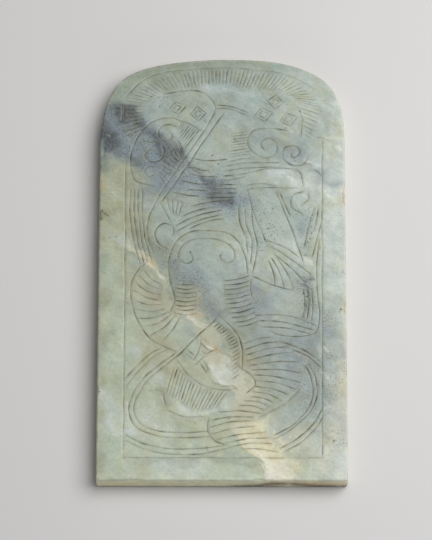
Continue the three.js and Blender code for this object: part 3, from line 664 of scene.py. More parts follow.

# The clouds in the stone, with painted shade along the left rim and a painted sheen along the right
# edge among them, laid one over another: colour, strength, reach from the middle of the cloud, and
# the places that its middle runs through
CLOUDS = [
    # The ground turns greener and lighter towards the lower left, and pale along the right edge,
    # where the paleness is partly the stone's own and partly a painted sheen
    [SAGE, 1, 17, [-40, 66], [-30, 48], [-16, 32], [-2, 16]],
    [WILLOW, 1, 17, [-38, 26], [-28, 8], [-8, 0], [22, -6]],
    [WILLOW, 0.5, 4, [-31.5, 72], [-32, 48], [-31, 34]],
    [CELADON, 0.8, 10, [29, 122], [33, 102], [32, 82], [35, 62]],
    # Partly painted sheen: the pale milky colour along the right edge
    [MILK, 0.6, 5, [37.5, 118], [37.5, 84], [38.5, 58], [38.5, 46]],
    [MILK, 0.5, 4.5, [38, 24], [38, 4]],
    [PEARL, 0.7, 5, [36, 38], [34, 26], [33, 12], [30, 2]],
    [PEARL, 0.4, 4, [14, 20], [20, 14], [26, 9]],
    [MILK, 0.5, 3.4, [32, 96], [31, 84], [34, 74], [34, 66]],
    # The top
    [MOSS, 0.9, 4.5, [-33, 117], [-30, 122], [-24, 126]],
    [OLIVE, 0.9, 3.4, [-20, 127.5], [-10, 129.6], [3, 130.6], [8, 130.8]],
    [MOSS, 0.4, 3, [8, 130], [15, 129]],
    [MOSS, 0.5, 3, [-22, 124.5], [-14, 126], [-6, 126]],
    [CELADON, 0.6, 3, [-22, 119.5], [-19, 117]],
    [LICHEN, 0.6, 5, [-16, 118], [-10, 114], [0, 108]],
    [FROST, 0.5, 2, [-5, 122.6], [0, 121.6], [6, 119.6]],
    [CELADON, 0.35, 5, [-6, 106], [-1, 101]],
    [MIST, 0.7, 3, [3, 118], [8, 112]],
    [OLIVE, 0.55, 2, [22.4, 114.5], [24.5, 110]],
    [PEBBLE, 0.7, 4, [8, 108], [14, 106], [19, 104]],
    [MIST, 0.5, 3.5, [14, 101], [24, 100]],
    [MOSS, 0.45, 2, [29, 114], [31, 111]],
    [CELADON, 0.6, 4, [20, 125], [27, 120], [22, 112]],
    # The dark band that falls from the left shoulder to the chest
    [HAZE, 0.85, 7, [-40, 112], [-27, 108], [-20, 101]],
    [HAZE, 0.75, 4.4, [-18, 98.6], [-6, 90.4], [4, 85.6]],
    [SLATE, 0.7, 4.4, [-37, 111], [-34, 105], [-33, 99]],
    [SLATE, 0.6, 3.4, [-29, 107], [-22, 103], [-17, 99]],
    [SLATE, 0.5, 3.2, [-16, 98], [-5, 91], [1, 88]],
    [SLATE, 0.8, 4, [-29, 99.6], [-22, 95.6], [-16, 93]],
    [SMOKE, 0.7, 2.8, [-32, 115.6], [-27.6, 112.6], [-23.6, 109.4]],
    [SMOKE, 0.9, 3.2, [-36.6, 110], [-34, 106], [-33.4, 102]],
    [SMOKE, 0.7, 2.1, [-21, 107], [-17, 103.8], [-14, 100.6]],
    [SMOKE, 0.7, 2, [-9, 96.4], [-5, 92.4], [-1.6, 89.8], [1.4, 87.8]],
    [SMOKE, 0.6, 2.4, [-27, 100.6], [-24, 96.6]],
    [SLATE, 0.6, 2.4, [-21, 94.6], [-16, 94]],
    [SOOT, 1, 2, [-28.8, 116], [-28.2, 112.4]],
    [SOOT, 0.8, 1.4, [-26.8, 111.6], [-23.8, 109.6]],
    [SOOT, 1, 2.6, [-34.4, 108], [-32.8, 104.6]],
    [SOOT, 0.5, 1.4, [-19.6, 106], [-16.4, 103]],
    [SOOT, 0.5, 1.4, [-2.6, 91], [0.6, 88.8]],
    [MIST, 0.4, 1.6, [-26, 107.4], [-23, 105.4]],
    [CELADON, 0.45, 2.6, [-14, 110], [-11.4, 106.4], [-7, 103]],
    [CELADON, 0.4, 2, [-10, 102], [-8, 98]],
    [CELADON, 0.25, 2.2, [-12, 95], [-9, 93.4]],
    [CELADON, 0.35, 2.4, [-22, 122], [-20, 117.6]],
    [LICHEN, 0.5, 2.4, [-6, 97.6], [0, 94.6]],
    [MIST, 0.5, 3, [-5, 83], [2, 80], [7, 85]],
    # The left edge, and a darker strip along its very rim from the bottom to the middle that is
    # painted shade
    [DRAB, 0.9, 3.6, [-36, 95], [-35.5, 88], [-36, 76]],
    [DRAB, 0.4, 2.4, [-36, 95], [-36, 74]],
    [DRAB, 0.4, 3, [-27, 95], [-25, 93]],
    [SAGE, 0.9, 4, [-31, 94], [-30, 84], [-31, 74]],
    [DRAB, 0.8, 3, [-27, 92], [-26, 82], [-25, 74]],
    [OLIVE, 0.8, 3.6, [-23, 76], [-18, 70]],
    [MOSS, 0.6, 1.5, [-35, 68], [-35, 56]],
    # Painted shade: these darken the very left rim, on the side away from the key light
    [SAGE, 0.9, 2.8, [-36.4, 62], [-36.4, 4]],
    [DRAB, 0.4, 2.4, [-36.4, 62], [-36.4, 4]],
    [MOSS, 0.55, 2.8, [-35.6, 55], [-35.6, 38]],
    [MOSS, 0.25, 2.4, [-35.8, 14], [-35.8, 4]],
    [MOSS, 0.35, 3, [-29, 29], [-25, 27]],
    [DRAB, 0.7, 1.6, [-35.2, 47], [-34.6, 42]],
    [DRAB, 0.5, 1.4, [-35, 5], [-34, 2.5]],
    # The right half
    [HAZE, 0.4, 4, [23, 101], [25, 97], [28, 94]],
    [HAZE, 0.5, 1.8, [26, 98], [30, 94.6], [36, 92.6]],
    [FROST, 0.7, 2, [16, 96], [20.5, 93.6], [23, 91.6]],
    [FROST, 0.6, 1.6, [25, 93], [26.4, 89]],
    [FROST, 0.75, 1.6, [30.5, 90.6], [32.4, 88.8], [34, 87.6]],
    [MILK, 0.5, 1.6, [26, 99], [27.6, 97.4]],
    [MILK, 0.8, 1.2, [20.4, 70.4], [23.4, 68], [26, 66.6]],
    [CELADON, 0.6, 5, [3, 73], [10, 68], [18, 71], [15, 80]],
    [SLATE, 0.4, 2.4, [24, 79], [24.5, 74]],
    # The second grey band, from under the left head to the lower middle
    [PEBBLE, 0.9, 7, [7, 56], [9, 48], [14, 41], [20, 34], [25, 26]],
    [OLIVE, 0.9, 4, [-19, 70], [-15, 66], [-11, 60], [-6, 54], [0, 48], [4, 42], [9, 36]],
    [SLATE, 0.5, 2.4, [-14, 66], [-10.5, 61], [-6, 56], [-2, 51]],
    [HAZE, 0.5, 3, [-8, 65], [-5, 60]],
    [SLATE, 0.35, 2, [4, 61], [4.5, 56], [6, 52]],
    [HAZE, 0.5, 3, [9, 57], [13, 52]],
    [LICHEN, 0.8, 3, [18, 60], [19, 54]],
    [SMOKE, 0.5, 1.8, [23.8, 61], [24.6, 56], [25, 51]],
    [PEBBLE, 0.8, 3, [27, 50], [29, 45], [28, 38]],
    [SLATE, 0.5, 4, [22, 41], [25, 37], [28, 35]],
    [PEBBLE, 0.5, 3, [29, 36], [29, 28], [24, 22]],
    [SLATE, 0.4, 3, [23, 48], [26, 45]],
    [OLIVE, 0.35, 4, [13, 29], [19, 23]],
    [OLIVE, 0.35, 2.6, [29, 36], [28, 33]],
    [FROST, 0.15, 4, [14, 64], [15, 58], [20, 58]],
    [FROST, 0.15, 3, [19, 70], [21, 72]],
    [DRAB, 0.3, 3, [24, 36], [29, 31]],
    [SLATE, 0.2, 4, [20, 36], [28, 34]],
    [SLATE, 0.25, 2.4, [29, 47], [29.6, 43]],
    [CELADON, 0.25, 4, [4, 70], [10, 68], [14, 64]],
    [CELADON, 0.2, 4, [-24, 84], [-14, 80]],
    [CELADON, 0.25, 4, [-2, 112], [14, 112], [20, 113]],
    [FROST, 0.9, 1.3, [28.6, 40.6], [29.8, 39.8]],
    [FROST, 0.5, 0.9, [29.8, 33], [30.4, 31.6]],
    [LICHEN, 0.6, 3, [15, 22], [19, 18]],
    [MIST, 0.5, 2.4, [23, 23], [24, 19]],
    [PEARL, 0.6, 3.4, [36, 32], [34, 20], [30, 14]],
    # The lower field
    [BUFF, 0.8, 4, [-26, 62], [-21, 56], [-14, 53], [-10, 54]],
    [ROSE, 0.55, 2.4, [-19.5, 57], [-18, 52.6], [-13, 51.6], [-9, 52.4]],
    [UMBER, 0.5, 1.3, [-15.9, 61.4], [-15.5, 57], [-15, 53.4]],
    [WILLOW, 0.6, 4, [-30, 47], [-27, 41], [-31, 38]],
    [BUFF, 0.7, 4, [-18, 42], [-16, 38], [-14, 35]],
    [WILLOW, 0.5, 2.4, [-14, 46], [-10, 45]],
    [WILLOW, 0.4, 4, [-22, 29], [-15, 30]],
    [BUFF, 0.6, 2, [-17, 26], [-15, 23]],
    [WILLOW, 0.8, 3, [-11, 24], [-6, 24]],
    [SAGE, 0.6, 3, [-12, 19], [-1, 20]],
    [SAGE, 0.6, 3, [-2, 17], [0, 10]],
    [TAN, 0.5, 3, [6, 36], [9, 31], [11, 25]],
    [CELADON, 0.8, 3.2, [-8, 22.6], [-1, 23], [4, 22.4]],
    [BUFF, 0.4, 4, [-22, 36], [-14, 30], [-4, 24]],
    [FROST, 0.4, 1.5, [-26, 41.4], [-23.8, 38.8]],
    [FROST, 0.3, 1.6, [-19, 31.4], [-17, 29.6]],
    [FROST, 0.35, 2.4, [-34, 27], [-32.6, 19]],
    [MILK, 0.5, 2.4, [-31, 17], [-26, 15], [-21, 18]],
    [FROST, 0.7, 1, [-27, 15.4], [-25.8, 13.6]],
    [FROST, 0.5, 1, [-32.4, 17.6], [-31.8, 16.6]],
    [SAND, 0.45, 2.4, [-22, 12], [-20, 8]],
    [MILK, 0.5, 2.4, [-17, 17], [-15, 13]],
    [MILK, 0.6, 3, [-16, 4.6], [-8, 3.4]],
    [CELADON, 0.5, 2.4, [-12, 28.4], [-8, 27.4]],
    [MILK, 0.6, 1.1, [-11.5, 22.4], [-10, 21.6], [-5, 20.4]],
    [OLIVE, 0.5, 1.2, [-17.4, 27.4], [-15.8, 23]],
    [OLIVE, 0.4, 1.4, [-24, 6.4], [-10, 5.8], [8, 6.4]],
    [STRAW, 0.85, 2.4, [8.5, 17], [12.6, 12.4], [15.4, 8.4]],
    [STRAW, 0.8, 2.2, [17.6, 5], [19.4, 1]],
    [SAND, 0.5, 3, [19, 11], [25, 8], [30, 5]],
    [MILK, 0.9, 2.8, [35, 1.6], [35.4, 5.6]],
    [BUFF, 0.3, 3, [19, 10], [20, 3]],
    [MILK, 0.4, 2, [-7.4, 22.6], [-4.6, 22]],
    [PEARL, 0.6, 2.4, [34.4, 15], [34.4, 18]],
    [MIST, 0.4, 3, [29, 19], [29, 13]],
    [MIST, 0.6, 2.6, [29, 43], [31, 36]],
    [PEARL, 0.6, 2.4, [34.6, 43], [35, 27]],
    [LICHEN, 0.5, 2.6, [34, 42], [34, 38]],
    [SAGE, 0.3, 2.4, [33.6, 28], [34, 26]],
    [MILK, 0.4, 2.4, [-28, 21], [-25, 18]],
]

# The cream vein. It is bounded on its lower left by a crisp edge, and fades out to the upper right:
# a place on the edge, the width there, and the colour.
VEIN = [
    [-34.5, 75.6, 2.4, SAGE],
    [-30, 73.1, 3, CELADON],
    [-25.6, 70.5, 2, SAND],
    [-21.9, 67.6, 1.5, SAND],
    [-18.6, 63.4, 1.2, SAGE],
    [-16.6, 60.6, 1.6, SAGE],
    [-17.6, 57, 3, BUFF],
    [-16.6, 52.4, 3, SAGE],
    [-11, 50.2, 3.6, DUNE],
    [-7.8, 47.6, 4.6, DUNE],
    [-5.8, 43.4, 6.4, DUNE],
    [-5, 39, 7, DUNE],
    [-4.2, 35, 8, SAND],
    [-1.4, 30.8, 8.5, MILK],
    [1.2, 28.5, 7, PEARL],
    [4, 27, 6.5, SAND],
    [3.2, 21, 8, DUNE],
    [2.6, 16.6, 10, SAND],
    [5.4, 13, 9, STRAW],
    [7, 9.9, 8.6, STRAW],
    [8.4, 8.3, 8.4, STRAW],
    [10.2, 7.1, 8.6, STRAW],
    [11.7, 5.6, 8.4, STRAW],
    [12.6, 3, 8.4, CREAM],
    [13, 0, 8.4, CREAM],
    [13.4, -2, 8, SAND],
]
CRISP = 0.6  # over what distance the vein starts at its edge

# Small rusty stains round the vein: strength, reach and places
RUST = [
    [0.8, 0.7, [-2.2, 40.4], [-1.2, 39.8]],
    [0.4, 0.6, [-5.2, 43.4], [-3.8, 41.8]],
    [0.4, 0.8, [-9, 50.8], [-6, 50.2]],
    [0.5, 1, [-21, 67.4], [-20, 66]],
    [0.25, 0.8, [4.6, 21.4], [8.6, 20.4]],
    [0.25, 0.8, [4.4, 18.6], [8.6, 17.8]],
    [0.3, 0.8, [8.6, 15.4], [12, 13.2], [13.6, 10.6]],
    [0.5, 0.7, [35.4, 53.6], [35.2, 52]],
    [0.5, 0.9, [35.4, 90], [35.4, 85.6]],
    [0.4, 1, [-35.2, 93], [-35, 90.6]],
]

# White threads and scratches in the stone: strength, reach and places
THREADS = [
    [0.65, 0.5, [-22.2, 67.4], [-19.5, 64.6], [-17.8, 62.6], [-16.3, 61.2]],
    [0.6, 1.1, [-10.6, 50.8], [-8.6, 49.4], [-5.4, 47]],
    [0.6, 0.6, [-4.8, 41], [-3.2, 39.9], [-2.6, 39.7]],
    [0.55, 1, [-2.4, 31.4], [-0.2, 29.8], [1.8, 29], [3.4, 28.7]],
    [0.4, 1.6, [-3, 34.6], [-1, 32.4]],
    [0.35, 1.3, [0.6, 32.8], [1.8, 31.4]],
    [0.5, 1.3, [12, 7.6], [13.4, 5.4]],
    [0.7, 0.9, [6.6, 12.8], [8, 10.6], [9.8, 8.8]],
    [0.4, 0.6, [4, 15.8], [7, 15.6]],
    [0.45, 0.6, [7, 12.8], [10.6, 12.2]],
    [0.8, 1.3, [11.4, 7], [12.8, 5], [13.8, 3], [15, 1.2]],
    [0.55, 0.8, [13.4, 1], [17, 0.9], [20, 0.8]],
    [0.4, 0.6, [-29.8, 41.8], [-28.2, 40.4], [-26.8, 39]],
    [0.3, 0.6, [-32.8, 59], [-31, 58.2]],
    [0.35, 0.6, [-32, 75.6], [-29, 73.6], [-26, 71.6]],
    [0.5, 0.7, [23.6, 88.8], [25.6, 86.8]],
    [0.5, 0.7, [29.8, 88.4], [31.6, 87.2], [33.4, 86.4]],
    [0.6, 0.8, [34, 104.2], [34.8, 102.6]],
    [0.4, 0.7, [17.6, 95.4], [20.4, 94], [22, 92.2]],
    [0.45, 0.6, [16, 111.6], [18.6, 110.6], [20.6, 108.8]],
    [0.5, 0.7, [20.8, 70], [23, 68.4], [25.4, 66.6]],
    [0.55, 0.5, [29.6, 40.8], [30.4, 39.6]],
    [0.45, 0.5, [29.6, 32.8], [30, 31.8]],
]

# Where small dark grains lie thickest: strength, reach and places
PEPPER = [
    [1, 7, [-34, 110], [-24, 104], [-14, 97], [2, 87]],
    [0.8, 4, [9, 86], [14, 78], [10, 72]],
    [0.9, 4, [-20, 72], [-13, 65], [-7, 58], [-3, 53]],
    [0.8, 3, [25, 84], [24, 74]],
    [0.9, 3.5, [24, 60], [25, 52], [30, 48]],
    [0.8, 5, [30, 36], [32, 28], [24, 26]],
    [0.9, 2.4, [31.6, 14], [34, 11]],
    [0.4, 4, [33, 40], [34, 26], [33, 12]],
    [0.5, 4, [-18, 119], [0, 126], [18, 118]],
    [0.6, 4, [2, 58], [8, 54]],
]

# Where the rim and the face have worn white: place across and up, and how far it reaches
WORN = [
    [-35.2, 27, 1.5], [-35, 24, 1.2], [-35.4, 17, 1], [-34.4, 1.6, 1.6], [-26.6, 1, 1.4],
    [-16.4, 0.8, 1.2], [-9.6, 0.8, 1], [-28, 8, 1], [19.6, 0.6, 1.4], [34.8, 2, 1.6],
    [35, 52.8, 1.6], [35.2, 89, 1.2], [35.2, 85.4, 1.2], [35.4, 108, 1], [29.9, 32.3, 0.35],
]

# Where the stone is smooth and evenly coloured: strength, reach and places
CALM = [
    [1, 4, [-33, 2], [-33, 68]],
    [1, 3, [-26, 3.4], [8, 3.4]],
    [1, 3, [-19, 46], [-14, 42]],
    [1, 6, [-26, 44], [-26, 16]],
    [1, 4, [-8, 106], [-2, 101]],
]

# What the lower wall shows: honey colour towards the right, and brown low down. Colour, strength and
# reach, then places across and above the table.
WALL_CLOUDS = [
    [HONEY, 0.8, 3, [16, 5], [36, 3.6]],
    [BROWN, 0.9, 1.4, [4, 0.4], [10, 1], [13.6, 2.6], [18, 3], [23, 2.2], [29, 1.2], [36, 0.8]],
]


# Distance from each point to a path, where along the path its nearest place is, and the side of the
# path that the point is on: 1 for left, -1 for right.
def nearest(path, points):
    start = path[:-1]
    step = path[1:] - start
    reach = np.maximum((step**2).sum(1), 1e-12)
    found = []
    for first in range(0, len(points), CHUNK):
        away = points[first : first + CHUNK, None, :] - start
        share = np.clip((away * step).sum(2) / reach, 0, 1)
        distance = np.linalg.norm(away - share[:, :, None] * step, axis=2)
        closest = distance.argmin(1)
        rows = np.arange(len(closest))
        across = step[closest, 0] * away[rows, closest, 1] - step[closest, 1] * away[rows, closest, 0]
        place = closest + share[rows, closest]
        found.append(np.column_stack([distance[rows, closest], place, np.where(across > 0, 1, -1)]))
    return np.vstack(found).T


# At each point: how deep the lines and pits are, how much dirt they hold, and how far away the
# nearest line's edge is.
def carving(points):
    depth = np.zeros(len(points))
    dirt = np.zeros(len(points))
    clearance = np.full(len(points), FAR)
    for line in lines:
        path = line["path"]
        low = path.min(0) - FAR
        high = path.max(0) + FAR
        near = np.flatnonzero(((points > low) & (points < high)).all(1))
        if len(near) == 0:
            continue
        distance, place, _ = nearest(path, points[near])
        half, floor, held = (
            np.interp(place, np.arange(len(path)), line[name]) for name in ("half", "depth", "dirt")
        )
        share = np.clip(1 - distance / half, 0, 1)
        depth[near] = np.maximum(depth[near], floor * share)
        dirt[near] = np.maximum(dirt[near], held * share**DIRT_SHAPE)
        clearance[near] = np.minimum(clearance[near], distance - half)
    for across, up, radius in PITS:
        distance = np.linalg.norm(points - [across, up], axis=1)
        bowl = np.clip(1 - (distance / radius) ** 2, 0, 1)
        depth = np.maximum(depth, PIT_DEPTH * bowl)
        dirt = np.maximum(dirt, PIT_DIRT * bowl)
        clearance = np.minimum(clearance, distance - radius)
    return depth, dirt, clearance


# The outline, anticlockwise from the lower right corner. The left shoulder is a little lower than
# the right one.
def outline():
    half = WIDTH / 2
    arch = smooth([
        [half, 105], [35.7, 112], [34.3, 118.6], [31, 124.2], [25, 128.4], [15.2, 131.2],
        [3, HEIGHT], [-9, 131.5], [-20.2, 129.7], [-27, 127.2], [-31.4, 123.3], [-34.2, 117],
        [-35.5, 110.5], [-half, 104],
    ])

    def corner(centre_across, first_angle):
        angle = np.radians(np.linspace(first_angle, first_angle + 90, 4))
        arm = CORNER_RADIUS * np.column_stack([np.cos(angle), np.sin(angle)])
        return [centre_across, CORNER_RADIUS] + arm

    def straight(start, end):
        count = int(np.linalg.norm(np.subtract(end, start)) / EDGE_STEP)
        return np.linspace(start, end, count + 1)[1:-1]

    right = corner(half - CORNER_RADIUS, 270)
    left = corner(CORNER_RADIUS - half, 180)
    return np.vstack([
        right, straight(right[-1], arch[0]), even(arch, EDGE_STEP), straight(arch[-1], left[0]),
        left, straight(left[-1], right[0]),
    ])


# A grid of places inside the outline, with alternate rows shifted by half a step. The outline bulges
# outward everywhere, so a place is inside when it is to the left of every stretch of it.
def filling(step, jitter, ring):
    columns = np.arange(-WIDTH / 2, WIDTH / 2, step)
    rows = np.arange(0, HEIGHT, step * ROW_SHARE)
    points = []
    for k, up in enumerate(rows):
        across = columns + (k % 2) * step / 2
        points.append(np.column_stack([across, np.full(len(across), up)]))
    points = np.vstack(points)
    points += RANDOM.uniform(-jitter, jitter, points.shape)
    away = left_of(ring, closed=True)
    inside = np.ones(len(points), bool)
    for place, inward in zip(ring[::3], away[::3]):
        inside &= (points - place) @ inward > step * RIM_SHARE
    return points[inside]


# Triangles between the places, with the ring and each chain kept as edges. It gives the places of
# the triangles' corners, the triangles, and where each place of the ring has gone.
def triangulate(ring, chains, loose):
    places = [ring]
    edges = [(i, (i + 1) % len(ring)) for i in range(len(ring))]
    count = len(ring)
    for chain in chains:
        places.append(chain)
        edges += [(count + i, count + i + 1) for i in range(len(chain) - 1)]
        count += len(chain)
    places.append(loose)
    corners = [Vector(place) for place in np.vstack(places)]
    inside_only = 1
    made = delaunay_2d_cdt(corners, edges, [], inside_only, SAME_PLACE, True)
    ring_at = {}
    for i, sources in enumerate(made[3]):
        for source in sources:
            if source < len(ring):
                ring_at[source] = i
    return np.array([tuple(v) for v in made[0]]), made[2], [ring_at[i] for i in range(len(ring))]


# The middle and both edges of every line, as chains of places.
def line_chains():
    chains = []
    for line in lines:
        path = line["path"]
        side = left_of(path) * line["half"][:, None]
        chains.append(path)
        chains.append(np.vstack([path[0], (path + side)[1:-1], path[-1]]))
        chains.append(np.vstack([path[0], (path - side)[1:-1], path[-1]]))
    return chains


def pit_places():
    angle = np.radians(np.arange(0, 360, 60))
    rim = np.column_stack([np.cos(angle), np.sin(angle)])
    places = []
    for across, up, radius in PITS:
        places.append([[across, up]])
        for share in (0.5, 1):
            places.append([across, up] + rim * radius * share)
    return np.vstack(places)


# The face: a sheet of triangles whose heights carry the carving and a slight hand-ground unevenness.
# It also gives the dirt in the lines and the faint stain beside them.
def face(ring):
    chains = line_chains()
    grid = filling(GRID, GRID_JITTER, ring)
    grid = grid[carving(grid)[2] > CLEAR_OF_LINES]
    loose = np.vstack([pit_places(), grid])
    flat, triangles, ring_at = triangulate(ring, chains, loose)
    depth, dirt, clearance = carving(flat)
    uneven = ROLL * hills(flat, ROLL_WAVE, 11) + RIPPLE * hills(flat, RIPPLE_WAVE, 12)
    to_edge = nearest(np.vstack([ring, ring[:1]]), flat)[0]
    inner = np.clip(to_edge / LEVEL_RIM, 0, 1)
    height = THICKNESS - TOP_GAP - np.abs(uneven) * inner - depth
    stain = np.exp(-np.maximum(clearance, 0) / STAIN_REACH)
    return flat, triangles, ring_at, height, dirt, stain


# Levels round the edge, from the face down to the back: height and inset.
def edge_levels():
    levels = []
    for angle in np.linspace(90, 0, ARRIS_STEPS + 1)[1:]:
        turn = math.radians(angle)
        inset = FACE_ARRIS * (1 - math.cos(turn))
        levels.append((THICKNESS - FACE_ARRIS * (1 - math.sin(turn)), inset))
    for height in np.linspace(THICKNESS - FACE_ARRIS, BACK_ARRIS, WALL_STEPS + 1)[1:]:
        levels.append((height, 0))
    for angle in (30, 60, 90):
        turn = math.radians(angle)
        levels.append((BACK_ARRIS * (1 - math.sin(turn)), BACK_ARRIS * (1 - math.cos(turn))))
    return levels


# Moves the corners that lie inside a chip onto its scooped surface, inward and down, with how deep
# each is in the chip. A chip is an ellipsoid, so how far a corner has to go is a quadratic's root.
def scoop(corners, chip):
    across, up, half_across, half_up, half_deep = chip
    centre = np.array([across, up, THICKNESS])
    size = np.array([half_across, half_up, half_deep])
    inward = -np.sign(across) * (abs(across) > WIDTH / 2 - AT_EDGE)
    upward = 1 if up < AT_EDGE else 0
    way = np.array([inward, upward, -1.0])
    way /= np.linalg.norm(way)
    grain = hills(corners[:, :2] + corners[:, 2:] * CHIP_SHIFT, CHIP_WAVE, int(up) + 30)
    rough = 1 + CHIP_ROUGHNESS * grain
    start = (corners - centre) / (size * rough[:, None])
    step = way / (size * rough[:, None])
    a = (step**2).sum(1)
    b = (start * step).sum(1)
    c = (start**2).sum(1) - 1
    inside = c < 0
    travel = (-b + np.sqrt(np.maximum(b**2 - a * c, 0))) / a
    moved = corners + way * (travel * inside)[:, None]
    return moved, np.where(inside, np.clip(travel / half_deep, 0, 1), 0)


# The whole tablet as one closed mesh, with what its surface carries: dirt, stain and chips.
def build_shape():
    for motif, breadth, darkness in MOTIFS:
        first = len(lines)
        motif()
        for line in lines[first:]:
            line["half"] *= breadth
            line["dirt"] *= darkness
    rim = outline()
    inward = left_of(rim, closed=True)
    flat, triangles, above, height, dirt, stain = face(rim + inward * FACE_ARRIS)
    corners = [np.column_stack([flat, height])]
    faces = [tuple(t) for t in triangles]
    count = len(flat)
    size = len(rim)
    for level, inset in edge_levels():
        worn = EDGE_WEAR * np.abs(hills(rim + level * EDGE_SHIFT, EDGE_WAVE, 21))
        drawn_in = rim + inward * (inset + worn)[:, None]
        corners.append(np.column_stack([drawn_in, np.full(size, level)]))
        below = list(range(count, count + size))
        for i in range(size):
            j = (i + 1) % size
            faces.append((above[i], below[i], below[j], above[j]))
        above = below
        count += size
    base = corners[-1][:, :2]
    under, back_triangles, base_at = triangulate(base, [], filling(BACK_GRID, BACK_JITTER, base))
    shared = {place: above[i] for i, place in enumerate(base_at)}
    fresh = [i for i in range(len(under)) if i not in shared]
    for i in fresh:
        shared[i] = count
        count += 1
    corners.append(np.column_stack([under[fresh], np.zeros(len(fresh))]))
    faces += [tuple(shared[i] for i in reversed(t)) for t in back_triangles]
    corners = np.vstack(corners)
    chipped = np.zeros(len(corners))
    for chip in CHIPS:
        corners, share = scoop(corners, chip)
        chipped = np.maximum(chipped, share)
    rest = np.zeros(len(corners) - len(flat))
    return corners, faces, np.append(dirt, rest), np.append(stain, rest), chipped


# A colour as light, from the numbers that a screen would show it with.
def linear(colour):
    share = np.array(colour, float) / 255
    return np.where(share <= 0.04045, share / 12.92, ((share + 0.055) / 1.055) ** 2.4)


# How strongly each point lies in a cloud whose middle runs along a path.
def presence(points, places, reach):
    path = smooth(places)
    share = np.zeros(len(points))
    low = path.min(0) - CLOUD_END * reach
    high = path.max(0) + CLOUD_END * reach
    near = np.flatnonzero(((points > low) & (points < high)).all(1))
    if len(near):
        share[near] = np.exp(-((nearest(path, points[near])[0] / reach) ** 2))
    return share


# Blends a colour into part of the colours.
def tint(colours, colour, share):
    colours += (linear(colour) - colours) * share[:, None]


# The places of the points as the clouds see them.
def stirred(points):
    return points + sum(sway(points, *shift) for shift in CLOUD_SWAY)


# 0 on the face, and 1 on the walls and the back.
def below_face(corners):
    return np.clip((THICKNESS - FACE_ARRIS - corners[:, 2]) / WALL_BLEND, 0, 1)


# The colour of the stone at each corner, with painted light on the walls, painted shade at the foot
# of the lower wall and along the left rim, and a painted sheen along the right edge; and how smoky
# and how milky it is there.
def stone_and_painted_light_colours(corners):
    points = corners[:, :2]
    moved = stirred(points)
    colours = np.tile(linear(LICHEN), (len(points), 1))
    smoky = np.zeros(len(points))
    milky = np.zeros(len(points))
    for colour, strength, reach, *places in CLOUDS:
        share = strength * presence(moved, places, reach)
        tint(colours, colour, share)
        smoky = np.maximum(smoky, share) if colour in SMOKY else smoky * (1 - share)
        milky = np.maximum(milky, share) if colour in MILKY else milky * (1 - share)
    below = below_face(corners)
    # The walls and back take their tan, lightened as painted light for the glow through the stone
    tint(colours, WALL, WALL_STRENGTH * below)
    lower_wall = (corners[:, 1] < LOWER_WALL) * below
    for colour, strength, reach, *places in WALL_CLOUDS:
        tint(colours, colour, strength * lower_wall * presence(corners[:, [0, 2]], places, reach))
    # Painted shade: a dark brown band at the foot of the lower wall, where it meets the table
    tint(colours, BROWN, FOOT_SHADE_STRENGTH * lower_wall * np.clip(FOOT_SHADE_TOP - corners[:, 2], 0, 1))
    return colours, smoky, milky


# The colour of the vein nearest to each point, and how much of the vein there is.
def vein_colours(points):
    edge = np.array([place[:2] for place in VEIN], float)
    knots = np.arange(len(VEIN))
    tints = np.array([linear(place[3]) for place in VEIN])
    distance, place, side = nearest(edge, points + sway(points, *VEIN_SWAY))
    width = np.interp(place, knots, [place[2] for place in VEIN])
    fading = np.clip(VEIN_END - distance / width, 0, 1)
    share = np.where(side > 0, fading, np.clip(1 - distance / CRISP, 0, 1))
    colours = np.column_stack([np.interp(place, knots, tints[:, k]) for k in range(3)])
    return colours, share


# The strongest mark at each point, of marks that each have a strength, a reach and places.
def marks(points, rows):
    amount = np.zeros(len(points))
    for strength, reach, *places in rows:
        amount = np.maximum(amount, strength * presence(points, places, reach))
    return amount


# How worn and white the surface is: at the rim, where the pale band is partly wear and partly painted
# highlight along the arris, in the chips and in a few rubbed places.
def wear_and_rim_highlight(corners, chipped):
    points = corners[:, :2]
    rim = outline()
    to_rim = nearest(np.vstack([rim, rim[:1]]), points)[0]
    patchy = np.clip(PATCH_MEAN + PATCH_SPREAD * hills(points, PATCH_WAVE, 61), *PATCH_RANGE)
    worn = np.clip(1 - to_rim / RIM_WEAR_AND_HIGHLIGHT, 0, 1) * (corners[:, 2] > THICKNESS - RIM_DROP) * patchy
    worn = np.maximum(worn, chipped)
    moved = stirred(points)
    for across, up, reach in WORN:
        place = [[across, up], [across, up + 0.1]]
        worn = np.maximum(worn, RUBBED * presence(moved, place, reach))
    return worn


def add_numbers(mesh, name, values):
    layer = mesh.attributes.new(name, "FLOAT", "POINT")
    layer.data.foreach_set("value", np.asarray(values, np.float32))


def add_colours(mesh, name, colours):
    layer = mesh.attributes.new(name, "FLOAT_COLOR", "POINT")
    full = np.column_stack([colours, np.ones(len(colours))])
    layer.data.foreach_set("color", full.astype(np.float32).ravel())


